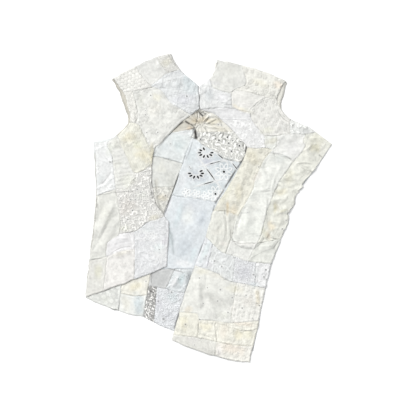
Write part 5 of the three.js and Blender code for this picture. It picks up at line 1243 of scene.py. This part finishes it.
def patch_colour_with_painted_shade(patch, grid, upper, dye, seed):
    """Colour of each point of a patch: its dye, the tints laid over it with broken edges, some of them
    painted shade and painted light, and a tone that wanders by smooth random hills. On that go painted
    shade in the hollows of the relief and painted light on its crests, painted light on the seams' ridges
    and painted shade in their grooves, painted shade with some grime at bare edges, and painted shadow, the
    darkest, in the crochet's gaps and along the shade lines. Whipped rims of holes and eyelets are in pale
    thread, round a painted dark middle that stands for the shade of an eyelet's hole."""
    x, y, edge = grid["x"], grid["y"], grid["edge"]
    layer = PANELS[patch["panel"]]["layer"]
    colour = np.ones(x.shape + (3,)) * dye
    # Tints: some are dye or other cloth, some are painted shade and painted light over folds
    for tint in TINTS[layer]:
        along, across = turned(x - tint["x"], y - tint["y"], tint["turn"])
        reach = np.hypot(along / tint["reach_x"], across / tint["reach_y"])
        broken = TINT_EDGE["broken"] * cloud(x, y, TINT_EDGE["size"], seed + 3)
        inside = ease((TINT_EDGE["at"] - reach + broken) / TINT_EDGE["fade"])
        weight = inside * TINT_EDGE["share"] * tint["strength"]
        colour = mix(colour, dyed(tint["dye"]), weight[..., None])
    # Painted light on the ridge beside each seam
    tone = 1 + SEAM_TONE["lighter"] * bell(edge - SEAM_TONE["at"], SEAM_TONE["width"])
    for k, (share, size) in enumerate(MOTTLES):
        tone = tone + share * cloud(x, y, size, seed + 4 + k)
    # Painted shade in the hollows of the relief and painted light on its crests
    hollow = np.clip((soften(upper, HOLLOW["blur"]) - upper) / HOLLOW["depth"], -1, 1)
    tone = tone * (1 - HOLLOW["darker"] * np.maximum(hollow, 0) - HOLLOW["lighter"] * np.minimum(hollow, 0))
    # Painted shade in each seam's groove
    sewn = SEAM_TONE["least"] + SEAM_TONE["vary"] * cloud(x, y, SEWN["size"], SEWN["seed"])
    tone = tone * (1 - SEAM_TONE["darker"] * sewn * bell(edge, SEAM_TONE["groove"]))
    # Painted shade with some grime along the bare edges
    rim_shade_and_grime = EDGE_TONE["least"] + EDGE_TONE["vary"] * cloud(x, y, EDGE_TONE["size"], EDGE_TONE["seed"])
    tone = tone * (1 - EDGE_TONE["darker"] * rim_shade_and_grime * bell(grid["rim"], EDGE_TONE["width"]))
    colour = colour * tone[..., None]
    # Painted shadow: in the crochet's gaps and along the lines of SHADES
    shade = GAP_SHADE * grid["gaps"]
    for line in SHADES[layer]:
        if reaches(line, x, y, REACH["shade"]):
            nearest, away = along_line(line, x, y)
            broken = SHADE_LINE["least"] + SHADE_LINE["vary"] * cloud(x, y, SHADE_LINE["size"], seed + 7)
            fade = 1 - (2 * nearest - 1) ** 8
            dark = bell(away, SHADE_LINE["width"] * line["width"] * broken)
            shade = np.maximum(shade, line["strength"] * fade * dark)
    whipping = WHIPPED["pale"] * bell(grid["outside"] - WHIPPED["at"], WHIPPED["width"])
    stitched = np.maximum(whipping, grid["cords"])
    # Each eyelet: painted shade in its middle in place of a hole, and a ring of pale thread
    for dot in DOTS[layer]:
        away = np.hypot(x - dot["x"], y - dot["y"])
        shade = np.maximum(shade, DOT_TONE["dark"] * bell(away, DOT_TONE["hole"] * dot["width"]))
        ring = bell(away - DOT_TONE["at"] * dot["width"], DOT_TONE["width"])
        stitched = np.maximum(stitched, DOT_TONE["pale"] * ring)
    colour = mix(colour, dyed(THREAD_DYE), stitched[..., None])
    return mix(colour, linear(PAINTED_SHADOW_COLOUR), np.clip(shade, 0, 1)[..., None])


def grid_quads(shape):
    """The four corners of each cell of a grid, as the numbers of its points."""
    index = np.arange(shape[0] * shape[1]).reshape(shape)
    return np.stack([index[:-1, :-1], index[1:, :-1], index[1:, 1:], index[:-1, 1:]], -1)


def shell_mesh(name, x, y, under, upper, keep, facts):
    """A closed shell over a grid: upper side, the same faces turned over below, and walls from every edge
    that only one face has, so holes get walls as the outline does. facts are grids kept as attributes."""
    count = x.size
    quads = grid_quads(x.shape)[keep]
    starts, ends = quads.ravel(), np.roll(quads, -1, axis=1).ravel()
    single = ~np.isin(starts * count + ends, ends * count + starts)
    starts, ends = starts[single], ends[single]
    walls = np.stack([ends, starts, starts + count, ends + count], -1)
    faces = np.concatenate([quads, quads[:, ::-1] + count, walls])
    used, faces = np.unique(faces, return_inverse=True)
    faces = faces.reshape(-1, 4)
    points = np.stack([np.tile(x.ravel(), 2), np.tile(y.ravel(), 2),
                       np.concatenate([upper.ravel(), under.ravel()])], -1)[used] * MM
    mesh = bpy.data.meshes.new(name)
    mesh.from_pydata(points.tolist(), [], faces.tolist())
    for key, values in facts.items():
        flat = values.reshape(count, -1)[used % count]
        if key == "grain":
            corners = np.empty(len(mesh.loops), int)
            mesh.loops.foreach_get("vertex_index", corners)
            mesh.uv_layers.new(name="Cloth").data.foreach_set("uv", (flat * MM)[corners].ravel())
        elif key == "dye":
            layer = mesh.attributes.new(key, "FLOAT_COLOR", "POINT")
            layer.data.foreach_set("color", np.pad(flat, [(0, 0), (0, 1)], constant_values=1).ravel())
        else:
            mesh.attributes.new(key, "FLOAT", "POINT").data.foreach_set("value", flat.ravel())
    mesh.shade_smooth()
    return mesh


def cut_area(x, y, width, length):
    """Area of a grid in plan, in square metres: half the cross product of each cell's diagonals, summed,
    and kept between three tenths and the whole of its width times its length."""
    first_x, first_y = x[1:, 1:] - x[:-1, :-1], y[1:, 1:] - y[:-1, :-1]
    second_x, second_y = x[:-1, 1:] - x[1:, :-1], y[:-1, 1:] - y[1:, :-1]
    area = np.abs(first_x * second_y - first_y * second_x).sum() / 2 * MM**2
    return float(np.clip(area / (width * length), 0.3, 1)) * width * length


def linear(hex_colour):
    """An sRGB hex colour as linear red, green and blue."""
    shares = np.array([int(hex_colour[k:k + 2], 16) / 255 for k in (1, 3, 5)])
    return np.where(shares <= 0.04045, shares / 12.92, ((shares + 0.055) / 1.055) ** 2.4)


def dyed(hex_colour):
    """Colour of worn cloth in a dye."""
    return linear(hex_colour) * AGED


def add(tree, kind, inputs=None, **settings):
    """One node of a kind, with its settings. Each of its inputs is set to a number or a colour, or joined
    to another socket or to the first output of another node."""
    node = tree.nodes.new("ShaderNode" + kind)
    for key, value in settings.items():
        setattr(node, key, value)
    for key, value in (inputs or {}).items():
        if isinstance(value, bpy.types.Node):
            value = value.outputs[0]
        if isinstance(value, bpy.types.NodeSocket):
            tree.links.new(value, node.inputs[key])
        else:
            node.inputs[key].default_value = value
    return node


def bare_material(name):
    """A material with an empty node tree, and that tree."""
    material = bpy.data.materials.new(name)
    material.use_nodes = True
    material.node_tree.nodes.clear()
    return material, material.node_tree


def cloth_material(fabric, wear):
    """Dyed cloth: the dye attribute, which carries the patch's painted shade and painted light as well as
    its dye, lighter or darker where the figure is worked, darker in the hollows of the weave, with uneven
    fibres and a line of stitches beside the seams. Bump carries threads, fibres, the figure's edges and the
    stitches."""
    material, tree = bare_material(fabric["name"])
    dye = add(tree, "Attribute", attribute_name="dye")
    figure, edge, run = (add(tree, "Attribute", attribute_name=name).outputs["Fac"] for name in
                         ("figure", "edge", "run"))
    plan = add(tree, "UVMap", uv_map="Cloth")
    split = add(tree, "SeparateXYZ", {0: plan}).outputs
    per_metre = 2 * math.pi / (fabric["thread"] * MM)
    first, second, together = WEAVES[fabric["weave"]]
    waves = []
    for across, along in (first, second):
        steps = add(tree, "Math", {0: split[0], 1: across * per_metre}, operation="MULTIPLY")
        steps = add(tree, "Math", {0: split[1], 1: along * per_metre, 2: steps}, operation="MULTIPLY_ADD")
        waves.append(add(tree, "Math", {0: steps}, operation="SINE"))
    weave = add(tree, "Math", dict(enumerate(waves)), operation=together)
    fibre = add(tree, "TexNoise", {"Vector": plan, "Scale": 900, "Detail": 3, "Roughness": 0.6})
    slub = add(tree, "TexNoise", {"Vector": plan, "Scale": 210, "Detail": 4, "Roughness": 0.65})
    beside = add(tree, "Math", {0: edge, 1: STITCH["at"], 2: STITCH["half_width"]}, operation="COMPARE")
    beat = add(tree, "Math", {0: run, 1: STITCH["beat"]}, operation="MULTIPLY")
    beat = add(tree, "Math", {0: beat}, operation="SINE")
    dash = add(tree, "Math", {0: beat, 1: STITCH["cut"]}, operation="GREATER_THAN")
    stitch = add(tree, "Math", {0: beside, 1: dash}, operation="MULTIPLY")
    tone = add(tree, "MapRange", {0: figure, 1: 0.25, 2: 0.75, 3: fabric["ground"], 4: fabric["figure"]},
               interpolation_type="SMOOTHSTEP")
    hollow = add(tree, "MapRange", {0: weave, 1: -1.0, 2: 0.4, 3: 1 - fabric["hollow"], 4: 1.0})
    uneven = add(tree, "MapRange", {0: slub, 1: 0.25, 2: 0.75, 3: 1 - wear, 4: 1 + wear})
    fuzz = add(tree, "MapRange", {0: fibre, 1: 0.25, 2: 0.75, 3: 1 - 0.7 * wear, 4: 1 + 0.7 * wear})
    thread = add(tree, "Math", {0: stitch, 1: STITCH["tone"], 2: 1.0}, operation="MULTIPLY_ADD")
    for share in (hollow, uneven, fuzz, thread):
        tone = add(tree, "Math", {0: tone, 1: share}, operation="MULTIPLY")
    colour = add(tree, "VectorMath", {0: dye, "Scale": tone}, operation="SCALE")
    rough = fabric["roughness"]
    if fabric["gloss"]:
        rough = add(tree, "MapRange", {0: figure, 3: rough, 4: rough + fabric["gloss"]})
    height = 0.0
    raised = ((weave, fabric["depth"]), (slub, 0.5), (fibre, 0.3), (stitch, 0.35), (figure, 0.25))
    for part, share in raised:
        height = add(tree, "Math", {0: part, 1: share, 2: height}, operation="MULTIPLY_ADD")
    bump = add(tree, "Bump", {"Strength": 0.7, "Distance": MM, "Height": height})
    shader = add(tree, "BsdfPrincipled", {
        "Base Color": colour, "Roughness": rough, "Normal": bump, "Sheen Weight": fabric["sheen"],
        "Sheen Roughness": 0.5, "Specular IOR Level": 0.3,
    })
    add(tree, "OutputMaterial", {0: shader})
    return material


def underlay_material():
    """A dark sheet, seen only through the holes above it: dull and nearly black."""
    material, tree = bare_material("Dark sheet under the holes")
    plan = add(tree, "UVMap", uv_map="Cloth")
    mottle = add(tree, "TexNoise", {"Vector": plan, "Scale": 160, "Detail": 4})
    dye = linear(UNDERLAY["dye"])
    dark = add(tree, "Mix", {0: mottle, 6: [*(0.6 * dye), 1], 7: [*dye, 1]}, data_type="RGBA").outputs[2]
    threads = add(tree, "TexNoise", {"Vector": plan, "Scale": 800, "Detail": 2})
    bump = add(tree, "Bump", {"Strength": 0.5, "Distance": 0.3 * MM, "Height": threads})
    shader = add(tree, "BsdfPrincipled", {"Base Color": dark, "Roughness": 0.95, "Normal": bump})
    add(tree, "OutputMaterial", {0: shader})
    return material


def wire_material():
    """Nickel-plated wire, bent cold: bright, a little scratched and dulled by use."""
    material, tree = bare_material("Nickel-plated wire, bent")
    place_on_wire = add(tree, "TexCoord").outputs["Object"]
    wear = add(tree, "TexNoise", {"Vector": place_on_wire, "Scale": 1400, "Detail": 4})
    dull, bright = [*linear("#8f8c86"), 1], [*linear("#d9d8d3"), 1]
    colour = add(tree, "Mix", {0: wear, 6: dull, 7: bright}, data_type="RGBA").outputs[2]
    rough = add(tree, "MapRange", {0: wear, 3: 0.25, 4: 0.5})
    bump = add(tree, "Bump", {"Strength": 0.3, "Distance": 0.1 * MM, "Height": wear})
    shader = add(tree, "BsdfPrincipled", {
        "Base Color": colour, "Roughness": rough, "Normal": bump, "Metallic": 0.9,
    })
    add(tree, "OutputMaterial", {0: shader})
    return material


def floor_material(colour):
    """Matt paper, faintly mottled."""
    material, tree = bare_material("Matt backdrop paper")
    place_on_floor = add(tree, "TexCoord").outputs["Object"]
    mottle = add(tree, "TexNoise", {"Vector": place_on_floor, "Scale": 30, "Detail": 3})
    tone = add(tree, "MapRange", {0: mottle, 3: 0.99, 4: 1.0})
    paper = add(tree, "VectorMath", {0: list(colour), "Scale": tone}, operation="SCALE")
    shader = add(tree, "BsdfPrincipled", {"Base Color": paper, "Roughness": 0.9, "Specular IOR Level": 0.1})
    add(tree, "OutputMaterial", {0: shader})
    return material


def finished(mesh, material):
    """An object of a mesh and a material, linked to the scene."""
    piece = bpy.data.objects.new(mesh.name, mesh)
    mesh.materials.append(material)
    bpy.context.scene.collection.objects.link(piece)
    return piece


def shared_material(slot, wear):
    """The material of a slot, made the first time that it is asked for."""
    fabric = next(row for row in FABRICS if row["slot"] == slot)
    return bpy.data.materials.get(fabric["name"]) or cloth_material(fabric, wear)


def sew_patch(patch, seed, settings):
    """Makes a patch as a thin shell on its solid's form, works out the area of its cut, and lets it stand
    for its solid."""
    panel = PANELS[patch["panel"]]
    back = panel["layer"] == "back"
    step = (settings.back_step if back else settings.front_step) / MM
    grid = patch_grid(patch, min(step, HOLED_STEP) if cut_holes(patch["name"]) else step)
    x, y, outside = grid["x"], grid["y"], grid["outside"]
    p, q = turned(x, y, patch["grain"])
    figure = FIGURES[patch["figure"]](p, q, patch["repeat"], seed) * FAINTER.get(patch["name"], 1)
    blossoms = blossom_cords(panel["layer"], x, y) * (1 if back else FRONT_BLOSSOMS)
    loops, grid["gaps"] = crochet_loops(patch["name"], x, y)
    grid["cords"] = np.maximum(settings.cord_white * blossoms, LOOP_WHITE * loops)
    figure = np.maximum.reduce([figure, blossoms, loops])
    under, upper = patch_heights(patch, grid, figure * settings.relief, seed)
    colour = patch_colour_with_painted_shade(patch, grid, upper, np.array(settings.dyes[patch["name"]].dye), seed)
    ends = (slice(-1), slice(1, None))
    keep = np.maximum.reduce([outside[a, b] for a in ends for b in ends]) > 0.001
    # The dye attribute holds the colour together with its painted shade and painted light
    facts = {
        "grain": np.stack([p, q], -1), "dye": colour, "figure": figure, "edge": grid["edge"],
        "run": grid["run"],
    }
    mesh = shell_mesh("Cloth_" + patch["name"], x, y, under, upper, keep, facts)
    piece = finished(mesh, shared_material(patch["fabric"], settings.wear))
    width, length = (size * MM for size in grid["flat"])
    area = cut_area(x, y, width, length)
    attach(piece, "root")
    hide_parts(patch["name"])


def sew_panel(panel, settings):
    """Sews every patch of a panel, each with its own seed."""
    for number, patch in enumerate(PATCHES):
        if patch["panel"] == panel:
            sew_patch(patch, 100 + 20 * number, settings)


class PatchDye(bpy.types.PropertyGroup):
    """Colour that one patch is dyed."""
    dye: FloatVectorProperty(name="Dye", description="Colour that the patch's cloth is dyed", size=3,
                             subtype="COLOR", min=0, max=1, default=(0.8, 0.8, 0.75))


class PatchworkTop(bpy.types.PropertyGroup):
    """Sizes and colours of the top that can be changed before it is built."""
    front_step: FloatProperty(name="Front step", description="Distance between points of the fronts' cloth",
                              unit="LENGTH", default=1.15 * MM, min=0.8 * MM, max=10 * MM, precision=5)
    back_step: FloatProperty(name="Back step", description="Distance between points of the back's cloth",
                             unit="LENGTH", default=1.5 * MM, min=0.8 * MM, max=10 * MM, precision=5)
    relief: FloatProperty(name="Figure relief", description="How far worked figures stand out, as a share",
                          subtype="FACTOR", default=1.8, min=0, max=2)
    wear: FloatProperty(name="Unevenness", description="How much lighter and darker the fibres are",
                        subtype="FACTOR", default=0.05, min=0, max=0.3)
    cord_white: FloatProperty(name="Whiteness of cords", description="How much corded blossoms are white",
                              subtype="FACTOR", default=0.85, min=0, max=1)
    floor_colour: FloatVectorProperty(name="Floor", description="Colour of the floor under the top", size=3,
                                      subtype="COLOR", min=0, max=1, default=(0.93, 0.93, 0.93))
    camera_height: FloatProperty(name="Camera height", description="Height of the camera above the top",
                                 unit="LENGTH", default=2.2, min=0.5, max=10)
    dyes: CollectionProperty(type=PatchDye, name="Dyes", description="Dye of each patch, by its name")


def fill_dyes(settings):
    """Gives each patch its dye from the table of patches."""
    settings.dyes.clear()
    for patch in PATCHES:
        entry = settings.dyes.add()
        entry.name = patch["name"]
        entry.dye = dyed(patch["dye"])


def lamp(name, place_at, size, power, colour):
    """A square soft lamp at a place, turned to face the middle of the top."""
    light = bpy.data.lights.new(name, "AREA")
    light.size = size
    light.energy = power
    light.color = colour
    holder = bpy.data.objects.new(name, light)
    holder.location = place_at
    way = -np.array(place_at) / np.linalg.norm(place_at)
    holder.rotation_euler = (math.acos(-way[2]), 0, math.atan2(way[1], way[0]) - math.pi / 2)
    bpy.context.scene.collection.objects.link(holder)


class PATCHWORK_OT_SetStage(bpy.types.Operator):
    """Lays the floor, hangs the lamps and sets the camera straight above the top"""
    bl_idname = "patchwork.set_stage"
    bl_label = "Set the stage"

    def execute(self, context):
        scene = context.scene
        settings = scene.patchwork_top
        marks = np.linspace(-FLOOR["half"], FLOOR["half"], FLOOR["points"])
        across, down = np.meshgrid(marks, marks[::-1])
        points = np.stack([across, down, np.full(across.shape, -FLOOR["below"])], -1).reshape(-1, 3)
        mesh = bpy.data.meshes.new("Floor")
        mesh.from_pydata(points.tolist(), [], grid_quads(across.shape).reshape(-1, 4).tolist())
        finished(mesh, floor_material(settings.floor_colour))
        camera = bpy.data.objects.new("Camera", bpy.data.cameras.new("Camera"))
        camera.location = (0, 0, settings.camera_height)
        camera.data.sensor_width = SENSOR
        camera.data.lens = SENSOR * settings.camera_height / PICTURE_WIDTH
        scene.collection.objects.link(camera)
        scene.camera = camera
        for row in LAMPS:
            lamp(**row)
        world = bpy.data.worlds.new("Pale room")
        world.use_nodes = True
        world.node_tree.nodes["Background"].inputs[0].default_value = ROOM["colour"]
        world.node_tree.nodes["Background"].inputs[1].default_value = ROOM["strength"]
        scene.world = world
        scene.view_settings.view_transform = "Standard"
        return {"FINISHED"}


class PATCHWORK_OT_LeftBack(bpy.types.Operator):
    """Lays out the seven patches of the left back"""
    bl_idname = "patchwork.left_back"
    bl_label = "Left back"

    def execute(self, context):
        sew_panel("BackLeft", context.scene.patchwork_top)
        return {"FINISHED"}


class PATCHWORK_OT_RightBack(bpy.types.Operator):
    """Lays out the eight patches of the right back"""
    bl_idname = "patchwork.right_back"
    bl_label = "Right back"

    def execute(self, context):
        sew_panel("BackRight", context.scene.patchwork_top)
        return {"FINISHED"}


class PATCHWORK_OT_LeftFront(bpy.types.Operator):
    """Lays out the fifteen patches of the left front over the back"""
    bl_idname = "patchwork.left_front"
    bl_label = "Left front"

    def execute(self, context):
        sew_panel("FrontLeft", context.scene.patchwork_top)
        return {"FINISHED"}


class PATCHWORK_OT_RightFront(bpy.types.Operator):
    """Lays out the twenty-eight patches of the right front over the back"""
    bl_idname = "patchwork.right_front"
    bl_label = "Right front"

    def execute(self, context):
        sew_panel("FrontRight", context.scene.patchwork_top)
        return {"FINISHED"}


class PATCHWORK_OT_Underlay(bpy.types.Operator):
    """Lays the dark sheet under the cutwork: a thin shell between the seams above and below it"""
    bl_idname = "patchwork.underlay"
    bl_label = "Dark sheet under the cutwork"

    def execute(self, context):
        start, count = UNDERLAY["start"], UNDERLAY["points"]
        u, v = np.meshgrid(np.linspace(start, UNDERLAY["s_end"], count),
                           np.linspace(start, UNDERLAY["t_end"], count))
        held = {"panel": "BackRight", "above": "gatherFoot", "below": "eyeletFoot", "left": "", "right": ""}
        s, t = measure(held, u, v)
        x, y = place("BackRight", s, t)
        top = np.full(x.shape, UNDERLAY["lift"] - UNDERLAY["clear"])
        keep = np.ones((count - 1, count - 1), bool)
        facts = {"grain": np.stack([x, y], -1)}
        mesh = shell_mesh(UNDERLAY["name"], x, y, top - UNDERLAY["thick"], top, keep, facts)
        piece = finished(mesh, underlay_material())
        width = float(lengths_along(x, y, 1)[:, -1].mean()) * MM
        length = float(lengths_along(x, y, 0)[-1].mean()) * MM
        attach(piece, "root")
        cut_area(x, y, width, length)
        return {"FINISHED"}


class PATCHWORK_OT_Closure(bpy.types.Operator):
    """Finishes the sewn eye of the neck closure in wire"""
    bl_idname = "patchwork.closure"
    bl_label = "Eye of the neck closure"

    def execute(self, context):
        wire = wire_material()
        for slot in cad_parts["NeckClosure_Eye"].material_slots:
            slot.material = wire
        return {"FINISHED"}


class PATCHWORK_PT_Panel(bpy.types.Panel):
    """Sizes, dyes and steps of the patchwork top"""
    bl_idname = "PATCHWORK_PT_panel"
    bl_label = "Patchwork top"
    bl_space_type = "VIEW_3D"
    bl_region_type = "UI"
    bl_category = "Patchwork"

    def draw(self, context):
        settings = context.scene.patchwork_top
        for key in ("front_step", "back_step", "relief", "wear", "cord_white", "camera_height",
                    "floor_colour"):
            self.layout.prop(settings, key)
        for name in STEPS:
            self.layout.operator("patchwork." + name)
        for entry in settings.dyes:
            self.layout.prop(entry, "dye", text=entry.name)


CLASSES = (
    PatchDye, PatchworkTop, PATCHWORK_OT_SetStage, PATCHWORK_OT_LeftBack, PATCHWORK_OT_RightBack,
    PATCHWORK_OT_Underlay, PATCHWORK_OT_LeftFront, PATCHWORK_OT_RightFront, PATCHWORK_OT_Closure,
    PATCHWORK_PT_Panel,
)
STEPS = ("set_stage", "underlay", "left_back", "right_back", "left_front", "right_front", "closure")


def register():
    for cls in CLASSES:
        bpy.utils.register_class(cls)
    bpy.types.Scene.patchwork_top = PointerProperty(type=PatchworkTop)


def unregister():
    del bpy.types.Scene.patchwork_top
    for cls in reversed(CLASSES):
        bpy.utils.unregister_class(cls)


def main():
    """Registers the add-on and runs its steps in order."""
    register()
    fill_dyes(bpy.context.scene.patchwork_top)
    for name in STEPS:
        getattr(bpy.ops.patchwork, name)()


if __name__ == "__main__":
    main()
